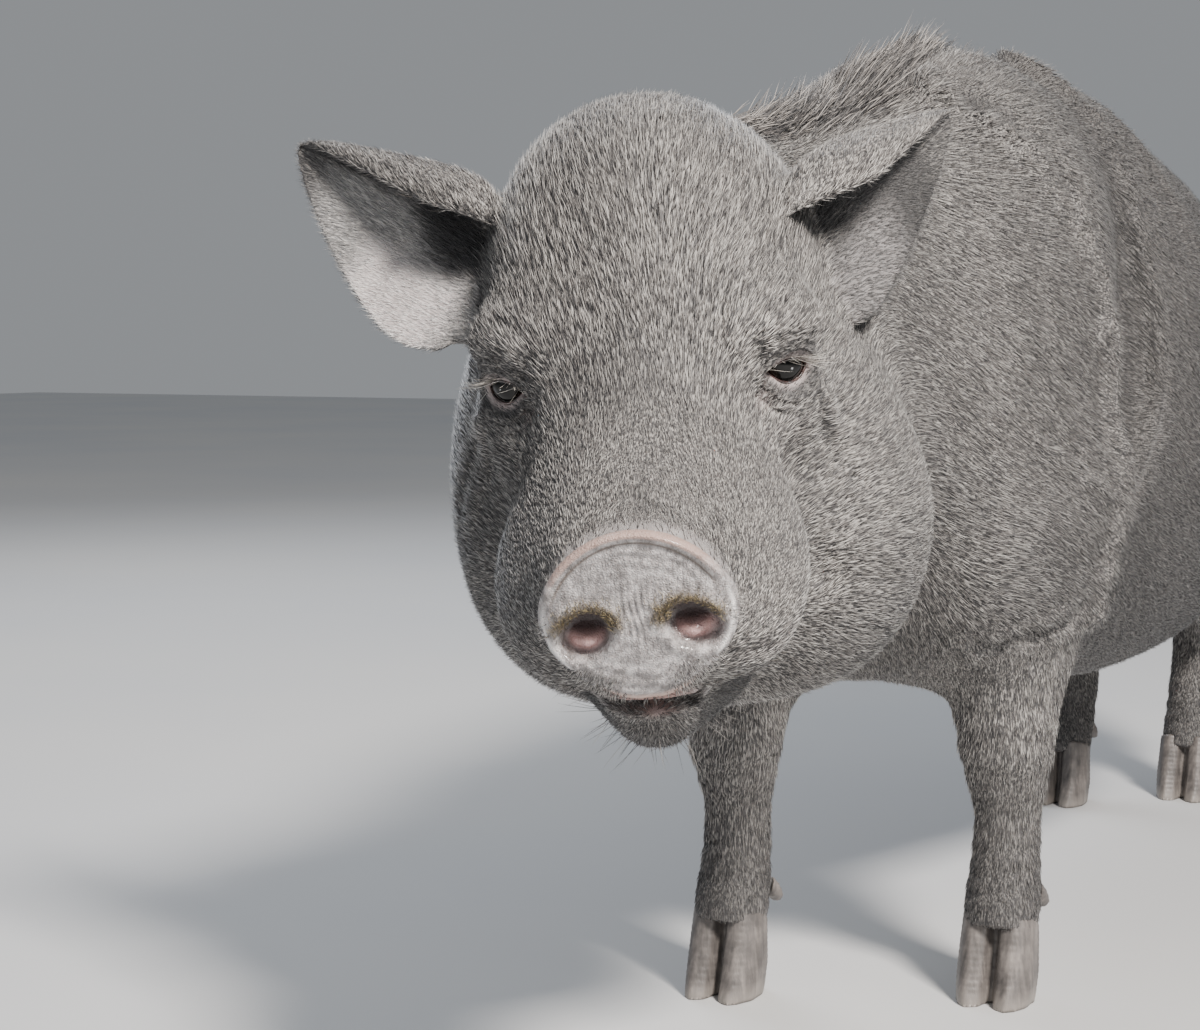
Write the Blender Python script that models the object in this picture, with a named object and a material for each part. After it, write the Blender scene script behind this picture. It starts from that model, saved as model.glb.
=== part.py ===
"""Domestic pig of the pot-bellied type, life size, standing square with its head turned to its left.

Metres, +Z up. The pig faces -Y and its left side is +X. The flesh is written as a field of soft masses,
skinned on a grid, thinned to few faces, and parted into named pieces with thin cuts.
"""

import math

import bmesh
import bpy
import numpy as np
from mathutils import Euler, Matrix, Vector

# Driving sizes of the animal
GAP = 0.0003  # kept between two pieces that touch
BACK_HEIGHT = 0.512  # top of the withers above the floor
BELLY_HEIGHT = 0.121  # lowest point of the hanging belly
BELLY_HALF_WIDTH = 0.142
FORE_FEET = {1: (0.068, -0.247), -1: (-0.064, -0.303)}  # left is 1, right is -1
HIND_FEET = {1: (0.041, 0.307), -1: (-0.038, 0.245)}
EYE_CENTRE = (0.0546, -0.0035, 0.0080)  # in the head's frame, left side
EYE_RADIUS = 0.0120
EYE_TILT = math.radians(-12.0)  # the outer corner is the lower one
EYE_OUTWARD = math.radians(32.0)  # how far each eye looks to its side
EYE_HALF_OPENING = (0.0100, 0.0060)
DISC_CENTRE = (0.0, -0.1540, -0.0150)
JOWL_SHIFT = 0.010  # how far the cheeks hang to its left as it turns its head
DISC_TILT = math.radians(13.0)  # the disc looks this far above the line of the muzzle
DISC_ROLL = math.radians(-3.0)  # its left nostril is the higher one
DISC_HALF_SIZE = (0.0380, 0.0325)
DISC_THICKNESS = 0.011
EAR_THICKNESS = 0.0045
HOOF_HEIGHT = 0.035

# The head's place: between the temples, with the nose turned left, lowered and rolled
HEAD_PLACE = Vector((-0.0072, -0.5183, 0.330))
HEAD_TURN = math.radians(24.2)
HEAD_DROP = math.radians(27.0)
HEAD_ROLL = math.radians(-5.0)
HEAD_BACK = 0.112  # where the head ends and the neck begins

# Steps of the grids that the flesh is skinned on
HEAD_STEP = 0.0032
BODY_STEP = 0.0080
LEG_STEP = 0.0045
COARSE = 4  # the field is first looked at in every fourth point
CORNERS = np.array(np.meshgrid((0, 1), (0, 1), (0, 1), indexing="ij")).reshape(3, -1).T  # of a grid's cell
BODY_LOW = (-0.20, -0.47, 0.05)
BODY_HIGH = (0.20, 0.47, 0.54)
HEAD_TRIANGLES = 4600
BODY_TRIANGLES = 4200
LEG_TRIANGLES = 720

NECK_JOINT = Vector((0.0, -0.335, 0.35))  # a point of the cut between neck and torso
NECK_WAY = Vector((0.0, 1.0, 0.15)).normalized()

HEAD_MATRIX = (
    Matrix.Translation(HEAD_PLACE)
    @ Matrix.Rotation(HEAD_TURN, 4, "Z")
    @ Matrix.Rotation(HEAD_DROP, 4, "X")
    @ Matrix.Rotation(HEAD_ROLL, 4, "Y")
)


def clear_scene():
    for obj in list(bpy.data.objects):
        bpy.data.objects.remove(obj)


def material(name, colour, roughness, metallic=0.0):
    made = bpy.data.materials.new(name)
    made.use_nodes = True
    shader = made.node_tree.nodes["Principled BSDF"]
    shader.inputs["Base Color"].default_value = (*colour, 1.0)
    shader.inputs["Roughness"].default_value = roughness
    shader.inputs["Metallic"].default_value = metallic
    made.diffuse_color = (*colour, 1.0)
    return made


# Soft masses, each a field that is below zero inside


def blend(first, second, reach):
    """The union of two fields, filleted where they come within reach of each other."""
    near = np.maximum(reach - np.abs(first - second), 0.0)
    return np.minimum(first, second) - near * near / (4.0 * reach)


def egg(points, centre, radii, turn=(0.0, 0.0, 0.0)):
    """An ellipsoid. turn is in degrees about X, Y and Z."""
    local = points - np.array(centre)
    if any(turn):
        local = local @ np.array(Euler([math.radians(a) for a in turn]).to_matrix())
    radii = np.array(radii)
    near = np.linalg.norm(local / radii, axis=1)
    steep = np.linalg.norm(local / (radii * radii), axis=1)
    return near * (near - 1.0) / np.maximum(steep, 1e-9)


def limb(points, path):
    """A round limb through path, a list of (x, y, z, radius)."""
    best = np.full(len(points), 1e9)
    for start, end in zip(path, path[1:]):
        a = np.array(start[:3])
        along = np.array(end[:3]) - a
        share = np.clip((points - a) @ along / (along @ along), 0.0, 1.0)
        reach = np.linalg.norm(points - a - share[:, None] * along, axis=1)
        best = np.minimum(best, reach - (start[3] + share * (end[3] - start[3])))
    return best


def dent(points, path, depth, width):
    """How far a crease along path, a list of (x, y, z), pushes the surface in."""
    away = limb(points, [(*p, 0.0) for p in path])
    return depth * np.exp(-((away / width) ** 2))


def mirrored(points):
    """Points with both sides folded onto the left."""
    return np.column_stack((np.abs(points[:, 0]), points[:, 1:]))


def torso_field(points):
    side = mirrored(points)
    flesh = egg(side, (0.0, -0.130, 0.318), (0.106, 0.215, 0.158))
    belly_depth = (0.445 - BELLY_HEIGHT) / 2
    belly_middle = (0.0, 0.070, BELLY_HEIGHT + belly_depth)
    belly = egg(side, belly_middle, (BELLY_HALF_WIDTH, 0.270, belly_depth), (-4, 0, 0))
    flesh = blend(flesh, belly, 0.06)
    back = [
        (0.0, -0.205, BACK_HEIGHT - 0.083, 0.078),
        (0.0, -0.05, BACK_HEIGHT - 0.096, 0.088),
        (0.0, 0.12, BACK_HEIGHT - 0.124, 0.088),
        (0.0, 0.300, BACK_HEIGHT - 0.150, 0.078),
    ]
    flesh = blend(flesh, limb(side, back), 0.07)
    flesh = blend(flesh, egg(side, (0.032, 0.295, 0.325), (0.080, 0.125, 0.114)), 0.05)
    flesh = blend(flesh, egg(side, (0.060, 0.295, 0.245), (0.050, 0.092, 0.115), (10, 0, 0)), 0.035)
    flesh = blend(flesh, egg(side, (0.058, -0.228, 0.332), (0.048, 0.080, 0.128), (-8, 0, 0)), 0.025)
    flesh = blend(flesh, egg(side, (0.066, -0.252, 0.245), (0.040, 0.060, 0.066)), 0.025)
    flesh = blend(flesh, egg(side, (0.0, -0.250, 0.250), (0.078, 0.080, 0.085)), 0.05)
    behind_shoulder = [
        (0.030, -0.165, 0.490),
        (0.085, -0.150, 0.410),
        (0.112, -0.155, 0.320),
        (0.108, -0.175, 0.265),
        (0.085, -0.190, 0.215),
    ]
    flesh += dent(side, behind_shoulder, 0.009, 0.018)
    flank = [(0.110, 0.180, 0.400), (0.135, 0.190, 0.340), (0.135, 0.205, 0.270), (0.110, 0.190, 0.190)]
    flesh += dent(side, flank, 0.007, 0.030)
    return flesh


def neck_field(points):
    nape_end = HEAD_MATRIX @ Vector((0.0, 0.085, 0.010))
    throat_end = HEAD_MATRIX @ Vector((0.0, 0.060, -0.070))
    nape = [(0.0, -0.215, 0.405, 0.082), (*nape_end, 0.062)]
    throat = [(0.0, -0.235, 0.325, 0.092), (*throat_end, 0.060)]
    return blend(limb(points, nape), limb(points, throat), 0.06)


def fore_leg_field(points, side):
    x, y = FORE_FEET[side]
    path = [
        (x * 1.02, y + 0.010, 0.265, 0.048),
        (x, y + 0.018, 0.205, 0.0345),
        (x, y + 0.008, 0.140, 0.0240),
        (x, y + 0.006, 0.095, 0.0182),
        (x, y + 0.004, 0.064, 0.0212),
        (x, y - 0.006, 0.034, 0.0212),
    ]
    leg = limb(points, path)
    knee = egg(points, (x, y - 0.004, 0.138), (0.0235, 0.020, 0.028))
    return blend(leg, knee, 0.02)


def hind_leg_field(points, side):
    x, y = HIND_FEET[side]
    path = [
        (x * 1.25, y - 0.020, 0.275, 0.060),
        (x * 1.08, y - 0.002, 0.215, 0.042),
        (x, y + 0.041, 0.165, 0.0250),
        (x, y + 0.028, 0.110, 0.0205),
        (x, y + 0.012, 0.070, 0.0212),
        (x, y - 0.002, 0.034, 0.0208),
    ]
    leg = limb(points, path)
    hock = egg(points, (x, y + 0.053, 0.170), (0.0190, 0.024, 0.030), (25, 0, 0))
    return blend(leg, hock, 0.02)


def head_field(points):
    """The head in its own frame: forward is -Y along the muzzle, and the eyes are on X."""
    side = mirrored(points)
    skull = egg(side, (0.0, 0.072, 0.008), (0.077, 0.088, 0.092))
    skull = blend(skull, egg(side, (0.0, 0.018, 0.004), (0.059, 0.052, 0.049)), 0.040)
    skull = blend(skull, egg(side, (0.052, 0.056, -0.046), (0.041, 0.056, 0.048)), 0.034)
    hanging = mirrored(points - np.array([JOWL_SHIFT, 0.0, 0.0]))
    skull = blend(skull, egg(hanging, (0.057, 0.036, -0.095), (0.053, 0.080, 0.065), (0, 12, 0)), 0.035)
    skull = blend(skull, egg(hanging, (0.0, 0.022, -0.110), (0.075, 0.078, 0.056)), 0.04)
    bridge = [
        (0.0, -0.010, -0.025, 0.056),
        (0.0, -0.070, -0.028, 0.051),
        (0.0, -0.122, -0.022, 0.0410),
    ]
    muzzle = limb(side, bridge)
    muzzle = blend(muzzle, egg(side, (0.034, -0.082, -0.045), (0.029, 0.054, 0.029)), 0.025)
    skull = blend(skull, muzzle, 0.03)
    jaw = [(0.020, 0.000, -0.098, 0.040), (0.014, -0.075, -0.087, 0.026), (0.0, -0.127, -0.0725, 0.0205)]
    skull = blend(skull, limb(side, jaw), 0.010)
    skull += dent(side, [(0.056, -0.018, 0.0055), (0.067, -0.006, 0.0065)], 0.0060, 0.013)
    brow = egg(side, (0.0535, -0.003, 0.0285), (0.024, 0.017, 0.0105), (0, 8, 22))
    skull = blend(skull, brow, 0.022)
    pouch = egg(side, (0.0580, -0.006, -0.0115), (0.020, 0.014, 0.0090), (0, -2, 22))
    skull = blend(skull, pouch, 0.018)
    skull = blend(skull, egg(side, EYE_CENTRE, (EYE_RADIUS + 0.0030,) * 3), 0.008)
    muzzle_end = -DISC_CENTRE[1]
    above_disc = [(0.0, -muzzle_end + 0.026, 0.022), (0.020, -muzzle_end + 0.028, 0.017)]
    skull += dent(side, above_disc, 0.003, 0.008)
    cheek_fold = [(0.066, -0.048, -0.008), (0.072, -0.044, -0.036), (0.068, -0.046, -0.066)]
    skull += dent(side, cheek_fold, 0.008, 0.009)
    tear_line = [(0.045, -0.028, 0.003), (0.037, -0.045, -0.010)]
    return skull + dent(side, tear_line, 0.003, 0.006)


def to_head(points):
    """Points of the pig's frame in the head's frame."""
    inverse = np.array(HEAD_MATRIX.inverted())
    return points @ inverse[:3, :3].T + inverse[:3, 3]


def pig_field(points):
    flesh = torso_field(points)
    flesh = blend(flesh, neck_field(points), 0.04)
    for side in (1, -1):
        flesh = blend(flesh, fore_leg_field(points, side), 0.030)
        flesh = blend(flesh, hind_leg_field(points, side), 0.030)
    return blend(flesh, head_field(to_head(points)), 0.016)


# Skinning a field


def sampled(field, low, high, step):
    """The grid's first point and the field's values on it, closed at the box's sides."""
    axes = [np.arange(low[i] - 1.5 * step, high[i] + 1.5 * step, step) for i in range(3)]
    grid = np.stack(np.meshgrid(*axes, indexing="ij"), -1)
    coarse = grid[::COARSE, ::COARSE, ::COARSE]
    value = field(coarse.reshape(-1, 3)).reshape(coarse.shape[:3])
    for axis in range(3):
        value = np.repeat(value, COARSE, axis)
    value = value[: len(axes[0]), : len(axes[1]), : len(axes[2])]
    near = np.abs(value) < step * COARSE * 2.5
    value[near] = field(grid[near])
    centre, half = (np.array(low) + high) / 2, (np.array(high) - low) / 2
    return grid[0, 0, 0], np.maximum(value, (np.abs(grid - centre) - half).max(axis=-1))


def shifted(value, offset):
    """Each cell's value at the corner that lies at offset."""
    cut = [slice(o, o + n - 1) for o, n in zip(offset, value.shape)]
    return value[tuple(cut)]


def cell_points(value):
    """The mean of the crossings in each cell that the surface crosses, in steps, and the cells' numbers."""
    cells = [n - 1 for n in value.shape]
    total = np.zeros(cells + [3])
    count = np.zeros(cells)
    for axis in range(3):
        for offset in CORNERS[CORNERS[:, axis] == 0]:
            other = offset.copy()
            other[axis] = 1
            first, second = shifted(value, offset), shifted(value, other)
            crossed = (first < 0.0) != (second < 0.0)
            share = np.where(crossed, first / np.where(crossed, first - second, 1.0), 0.0)
            for i in range(3):
                total[..., i] += crossed * (offset[i] + (share if i == axis else 0.0))
            count += crossed
    used = count > 0
    number = np.full(used.shape, -1)
    number[used] = np.arange(used.sum())
    return total[used] / count[used][:, None] + np.argwhere(used), number


def cell_faces(inside, number):
    """A quad of four cells round each step of the grid that runs through the surface."""
    faces = []
    for axis in range(3):
        u, v = (axis + 1) % 3, (axis + 2) % 3
        lower = [slice(1, n - 1) for n in inside.shape]
        lower[axis] = slice(0, inside.shape[axis] - 1)
        upper = list(lower)
        upper[axis] = slice(1, inside.shape[axis])
        enters = inside[tuple(lower)] & ~inside[tuple(upper)]
        leaves = ~inside[tuple(lower)] & inside[tuple(upper)]
        for changed, order in ((enters, 1), (leaves, -1)):
            base = np.argwhere(changed) + [0 if i == axis else 1 for i in range(3)]
            ring = []
            for du, dv in ((-1, -1), (0, -1), (0, 0), (-1, 0)):
                cell = base.copy()
                cell[:, u] += du
                cell[:, v] += dv
                ring.append(number[cell[:, 0], cell[:, 1], cell[:, 2]])
            faces.append(np.stack(ring[::order], axis=1))
    return np.concatenate(faces)


def settle(vertices, field, low, high, step):
    """Moves vertices that aren't on the box's sides onto the field's surface."""
    free = ((vertices > np.array(low) + step) & (vertices < np.array(high) - step)).all(axis=1)
    moved = vertices.copy()
    for _ in range(2):
        here = moved[free]
        level = field(here)
        slope = np.zeros_like(here)
        for axis in range(3):
            nudge = np.zeros(3)
            nudge[axis] = step * 0.2
            slope[:, axis] = (field(here + nudge) - field(here - nudge)) / (step * 0.4)
        size = np.maximum((slope * slope).sum(axis=1), 0.25)
        push = np.clip(level / size, -step, step)
        moved[free] = here - slope * push[:, None]
    return moved


def skinned(name, field, low, high, step, triangles):
    """A closed mesh object of the field inside the box, thinned to about that many triangles."""
    first, value = sampled(field, low, high, step)
    places, number = cell_points(value)
    vertices = settle(first + places * step, field, low, high, step)
    mesh = bpy.data.meshes.new(name)
    mesh.from_pydata(vertices.tolist(), [], cell_faces(value < 0.0, number).tolist())
    obj = link(name, mesh)
    apply_modifier(obj, "TRIANGULATE")
    share = triangles / len(obj.data.polygons)
    if share < 1.0:
        apply_modifier(obj, "DECIMATE", ratio=share)
    return obj


# Mesh helpers


def link(name, mesh):
    obj = bpy.data.objects.new(name, mesh)
    bpy.context.scene.collection.objects.link(obj)
    return obj


def freeze(obj):
    """Puts the object's modifiers and place into its mesh."""
    bpy.context.view_layer.update()
    graph = bpy.context.evaluated_depsgraph_get()
    mesh = bpy.data.meshes.new_from_object(obj.evaluated_get(graph))
    obj.modifiers.clear()
    obj.data = mesh
    obj.data.transform(obj.matrix_world)
    obj.matrix_world = Matrix.Identity(4)


def apply_modifier(obj, kind, **settings):
    modifier = obj.modifiers.new(kind.title(), kind)
    for key, value in settings.items():
        setattr(modifier, key, value)
    freeze(obj)


def boolean(obj, operation, other):
    """Cuts obj with a closed mesh object, which goes, and keeps the largest surface.

    The solver is MANIFOLD throughout: the exact one is slow on the flesh's many curved faces.
    """
    apply_modifier(obj, "BOOLEAN", operation=operation, object=other, solver="MANIFOLD")
    bpy.data.objects.remove(other)
    keep_largest(obj)


def fuse(obj, pieces):
    """Joins closed mesh objects to obj in one union, and removes them."""
    bundle = bpy.data.collections.new("bundle")
    for piece in pieces:
        bundle.objects.link(piece)
    apply_modifier(
        obj, "BOOLEAN", operation="UNION", operand_type="COLLECTION", collection=bundle, solver="MANIFOLD"
    )
    for piece in pieces:
        bpy.data.objects.remove(piece)
    bpy.data.collections.remove(bundle)
    keep_largest(obj)


def keep_largest(obj):
    """Drops every closed surface of obj but the one with most faces."""
    bm = bmesh.new()
    bm.from_mesh(obj.data)
    left = set(bm.verts)
    islands = []
    while left:
        front = [left.pop()]
        island = list(front)
        while front:
            for edge in front.pop().link_edges:
                for vert in edge.verts:
                    if vert in left:
                        left.remove(vert)
                        front.append(vert)
                        island.append(vert)
        islands.append(island)
    islands.sort(key=len)
    for island in islands[:-1]:
        bmesh.ops.delete(bm, geom=island, context="VERTS")
    bm.to_mesh(obj.data)
    bm.free()


def copied(obj, name, grow=0.0):
    """A copy of obj, its surface moved out by grow."""
    twin = link(name, obj.data.copy())
    if grow:
        normals = np.empty(len(twin.data.vertices) * 3, np.float32)
        places = np.empty_like(normals)
        twin.data.vertices.foreach_get("co", places)
        twin.data.vertex_normals.foreach_get("vector", normals)
        twin.data.vertices.foreach_set("co", places + normals * grow)
        twin.data.update()
    return twin


def half_space(name, point, normal, size=0.8):
    """A large block whose one face passes through point and whose bulk lies along normal."""
    bm = bmesh.new()
    bmesh.ops.create_cube(bm, size=size)
    normal = Vector(normal).normalized()
    bmesh.ops.translate(bm, verts=bm.verts, vec=(0.0, 0.0, size / 2))
    turned = Matrix.Translation(Vector(point)) @ normal.to_track_quat("Z", "Y").to_matrix().to_4x4()
    bmesh.ops.transform(bm, verts=bm.verts, matrix=turned)
    mesh = bpy.data.meshes.new(name)
    bm.to_mesh(mesh)
    bm.free()
    return link(name, mesh)


def block(name, low, high):
    """An upright box from its lowest to its highest corner."""
    bm = bmesh.new()
    bmesh.ops.create_cube(bm, size=1.0)
    size = Vector(high) - Vector(low)
    bmesh.ops.scale(bm, verts=bm.verts, vec=size)
    bmesh.ops.translate(bm, verts=bm.verts, vec=(Vector(low) + Vector(high)) / 2)
    mesh = bpy.data.meshes.new(name)
    bm.to_mesh(mesh)
    bm.free()
    return link(name, mesh)


def solid(name, bm):
    """A mesh object of a closed bmesh, its faces turned outward."""
    bmesh.ops.recalc_face_normals(bm, faces=bm.faces)
    mesh = bpy.data.meshes.new(name)
    bm.to_mesh(mesh)
    bm.free()
    return link(name, mesh)


def lofted(name, rings):
    """A closed body through rings of equally many points, with both ends capped."""
    bm = bmesh.new()
    rows = [[bm.verts.new(point) for point in ring] for ring in rings]
    for row, after in zip(rows, rows[1:]):
        for i, vert in enumerate(row):
            j = (i + 1) % len(row)
            bm.faces.new((vert, row[j], after[j], after[i]))
    bm.faces.new(reversed(rows[0]))
    bm.faces.new(rows[-1])
    bmesh.ops.triangulate(bm, faces=bm.faces, quad_method="FIXED")
    return solid(name, bm)


MOUTH_LINE = (  # one side, from the middle of the lip to the corner of the mouth
    (0.0, -0.146, -0.062),
    (0.012, -0.145, -0.063),
    (0.027, -0.138, -0.067),
    (0.041, -0.124, -0.071),
    (0.053, -0.104, -0.073),
    (0.061, -0.080, -0.074),
    (0.066, -0.056, -0.071),
)


def on_surface(field, places):
    """The places moved onto the field's surface, and the outward directions there."""
    places = np.array(places, float)
    for _ in range(6):
        slope = np.stack([field(places + n) - field(places - n) for n in np.eye(3) * 0.001], axis=1) / 0.002
        slope /= np.maximum(np.linalg.norm(slope, axis=1), 0.3)[:, None]
        places -= slope * field(places)[:, None]
    return places, slope


def mouth_cut():
    """A narrow wedge along the line where the lips meet, tapering out at both corners."""
    line = [(-x, y, z) for x, y, z in reversed(MOUTH_LINE[1:])] + list(MOUTH_LINE)
    places, outward = on_surface(head_field, line)
    count = len(places)
    rings = []
    for i in range(count):
        along = places[min(i + 1, count - 1)] - places[max(i - 1, 0)]
        across = np.cross(outward[i], along)
        across /= np.linalg.norm(across)
        size = 0.35 if i in (0, count - 1) else 1.0
        lips = [places[i] + outward[i] * 0.004 + across * reach * size for reach in (-0.0030, 0.0030)]
        rings.append([Vector(p) for p in (*lips, places[i] - outward[i] * 0.0065 * size)])
    obj = lofted("mouth_cut", rings)
    obj.data.transform(HEAD_MATRIX)
    return obj


def eyeball(side):
    """One eyeball, its cornea bulging a little from it."""
    rings = []
    for angle in (8, 24, 40, 60, 85, 110, 135, 160):
        ahead = math.cos(math.radians(angle))
        radius = EYE_RADIUS * (1.0 + 0.07 * max(0.0, (ahead - 0.72) / 0.28) ** 1.5)
        rings.append((radius * ahead, radius * math.sin(math.radians(angle))))
    turn = gaze(side).to_track_quat("Y", "Z").to_matrix()
    loops = []
    for depth, radius in rings:
        loops.append(ring_points(radius, radius, 14, lambda x, z, y=depth: turn @ Vector((x, y, z))))
    obj = lofted("eye_left" if side > 0 else "eye_right", loops)
    obj.data.transform(HEAD_MATRIX @ Matrix.Translation(eye_centre(side)))
    return obj


def ring_points(wide, high, steps, place):
    """Points of an oval, each put in place by the given function of its two coordinates."""
    angles = [2.0 * math.pi * i / steps for i in range(steps)]
    return [place(wide * math.cos(a), high * math.sin(a)) for a in angles]


def eye_centre(side):
    return Vector((EYE_CENTRE[0] * side, EYE_CENTRE[1], EYE_CENTRE[2]))


def gaze(side):
    return Vector((math.sin(EYE_OUTWARD) * side, -math.cos(EYE_OUTWARD), 0.0))


def eye_opening(side):
    """The almond between the lids, driven in to the middle of the eyeball."""
    across = Vector((math.cos(EYE_OUTWARD) * side, math.sin(EYE_OUTWARD), 0.0))
    up = Vector((0.0, 0.0, 1.0))
    long_way = across * math.cos(EYE_TILT) + up * math.sin(EYE_TILT)
    short_way = up * math.cos(EYE_TILT) - across * math.sin(EYE_TILT)
    rings = []
    for depth, size in ((0.0, 0.92), (EYE_RADIUS, 1.0), (EYE_RADIUS + 0.02, 1.6)):
        ring = []
        for i in range(16):
            angle = 2.0 * math.pi * i / 16
            u, v = math.cos(angle), math.sin(angle)
            v *= 1.0 - 0.45 * u * u
            place = long_way * u * EYE_HALF_OPENING[0] + short_way * v * EYE_HALF_OPENING[1]
            ring.append(eye_centre(side) + gaze(side) * depth + place * size)
        rings.append(ring)
    obj = lofted("eye_opening", rings)
    obj.data.transform(HEAD_MATRIX)
    return obj


def disc_frame():
    """The disc's frame: its outward face looks along its own -Y."""
    turned = Matrix.Rotation(-DISC_TILT, 4, "X") @ Matrix.Rotation(DISC_ROLL, 4, "Y")
    return HEAD_MATRIX @ Matrix.Translation(DISC_CENTRE) @ turned


def disc_outline(angle, size):
    """A point of the disc's outline: broad at the nostrils, narrower above, drawn down to the lip below."""
    rise = math.sin(angle)
    wide = DISC_HALF_SIZE[0] * (1.0 - 0.10 * max(0.0, rise) - 0.10 * max(0.0, -rise) ** 2)
    high = DISC_HALF_SIZE[1] * (1.0 + 0.08 * max(0.0, -rise))
    return wide * math.cos(angle) * size, high * rise * size


DISC_RINGS = (  # depth behind the rim, and share of the outline
    (DISC_THICKNESS, 0.92),
    (0.0060, 0.975),
    (0.0018, 1.0),
    (-0.0006, 0.985),
    (-0.0012, 0.93),
    (0.0004, 0.85),
    (0.0014, 0.60),
    (0.0006, 0.25),
)


def snout_disc():
    """The disc at the end of the muzzle: a raised rim, a dished face and two nostrils."""
    steps = 26
    loops = []
    for depth, size in DISC_RINGS:
        places = [disc_outline(2.0 * math.pi * i / steps, size) for i in range(steps)]
        loops.append([(x, depth + (1.6 * x * x if depth < DISC_THICKNESS else 0.0), z) for x, z in places])
    obj = lofted("snout", loops)
    obj.data.transform(disc_frame())
    for side in (1, -1):
        boolean(obj, "DIFFERENCE", nostril(side))
    return obj


NOSTRIL_PLACE = (0.0212, -0.0015)  # on the disc's face, left side
NOSTRIL_HALF_SIZE = (0.0095, 0.0085)
NOSTRIL_SLANT = -0.20
NOSTRIL_RINGS = ((-0.006, 1.35), (-0.0005, 1.08), (0.0025, 0.92), (0.0085, 0.62))  # depth, share of the size


def nostril(side):
    """A tapering hollow that runs back from the disc's face."""
    loops = []
    for depth, size in NOSTRIL_RINGS:
        ring = []
        for x, z in ring_points(*NOSTRIL_HALF_SIZE, 14, lambda x, z: (x, z + NOSTRIL_SLANT * x)):
            ring.append((side * (NOSTRIL_PLACE[0] + x * size), depth, NOSTRIL_PLACE[1] + z * size))
        loops.append(ring)
    obj = lofted("nostril", loops)
    obj.data.transform(disc_frame())
    return obj


CAMERA_PLACE = Vector((0.27, 1.37, 0.0))  # across and away from the pig's frame, as the camera sees it
SEEN_FROM = math.radians(28.0)


def camera_way(across, away, up):
    """A direction as seen from the photo's camera: to the right, away from it and up."""
    return (Matrix.Rotation(SEEN_FROM, 3, "Z") @ Vector((across, away, up))).normalized()


def camera_place(across, away, up):
    """A place given as seen from the photo's camera, in the pig's own frame."""
    flat = Vector((across, away, 0.0)) - CAMERA_PLACE
    return Matrix.Rotation(SEEN_FROM, 3, "Z") @ flat + Vector((0.0, 0.0, up))


EARS = {
    -1: {"root": (-0.068, 0.060, 0.040), "tip": (-0.1400, 1.000, 0.4370), "faces": (0.15, -0.95, -0.20)},
    1: {"root": (0.066, 0.060, 0.040), "tip": (0.1680, 1.040, 0.4550), "faces": (0.42, -0.88, -0.20)},
}
# Across each ear: share of the way to the tip, reach of the lower edge, reach of the rim, depth of the
# hollow, and how far the rim rolls down over it
EAR_ROWS = (
    (-0.16, 0.036, 0.012, 0.006, 0.002),
    (0.00, 0.050, 0.020, 0.017, 0.008),
    (0.12, 0.056, 0.0265, 0.024, 0.0155),
    (0.26, 0.055, 0.0260, 0.025, 0.0180),
    (0.40, 0.049, 0.0225, 0.021, 0.0150),
    (0.54, 0.041, 0.0185, 0.017, 0.0115),
    (0.67, 0.032, 0.0145, 0.013, 0.0080),
    (0.79, 0.0225, 0.0110, 0.010, 0.0050),
    (0.89, 0.0140, 0.0075, 0.006, 0.0025),
    (0.96, 0.0075, 0.0048, 0.003, 0.0010),
    (1.00, 0.0025, 0.0022, 0.001, 0.0003),
)
# From the lower edge over the hollow to the rolled rim: shares of the reach, of the hollow and of the roll
EAR_SECTION = (
    (-1.00, 0.42, 0.0),
    (-0.84, 0.28, 0.0),
    (-0.55, 0.06, 0.0),
    (-0.20, -0.20, 0.0),
    (0.30, -0.36, 0.0),
    (0.80, -0.12, 0.0),
    (1.00, 0.38, 0.0),
    (1.00, 0.78, 0.35),
    (1.00, 0.84, 1.0),
)
EAR_ROOT_SWELL = 0.012  # the leaf thickens where it leaves the head
EAR_SWELL_SHARE = 0.14


def ear_section(lower, upper, hollow, roll):
    """The leaf's middle line across the ear, as (reach, forward), and the way to its hollow side."""
    line = []
    for share, depth, turned in EAR_SECTION:
        line.append(Vector((share * (upper if share > 0.0 else lower) - roll * turned, hollow * depth)))
    sides = []
    for i in range(len(line)):
        run = line[min(i + 1, len(line) - 1)] - line[max(i - 1, 0)]
        sides.append(Vector((-run.y, run.x)).normalized())
    return line, sides


def ear(side):
    """A cupped ear: the lower lobe opens wide, and the upper rim rolls forward over a deep hollow."""
    shape = EARS[side]
    root = HEAD_MATRIX @ Vector(shape["root"])
    tip = camera_place(*shape["tip"])
    along = (tip - root).normalized()
    faces = camera_way(*shape["faces"])
    faces = (faces - along * faces.dot(along)).normalized()
    rise = along.cross(faces) * -side
    rings = []
    for share, lower, upper, hollow, roll in EAR_ROWS:
        wall = EAR_THICKNESS + EAR_ROOT_SWELL * max(0.0, EAR_SWELL_SHARE - share)
        wall *= min(1.0, 0.35 + 6.0 * (1.0 - share))
        front, back = [], []
        for middle, out, (s, _, _) in zip(*ear_section(lower, upper, hollow, roll), EAR_SECTION):
            half = out * wall * (1.0 - 0.45 * abs(s) ** 3) / 2
            start = root.lerp(tip, share)
            front.append(start + rise * (middle + half).x + faces * (middle + half).y)
            back.append(start + rise * (middle - half).x + faces * (middle - half).y)
        rings.append(front + back[::-1])
    return lofted("ear_left" if side > 0 else "ear_right", rings)


FEET = {
    "fore_left": (1, FORE_FEET[1]),
    "fore_right": (-1, FORE_FEET[-1]),
    "hind_left": (1, HIND_FEET[1]),
    "hind_right": (-1, HIND_FEET[-1]),
}


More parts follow.
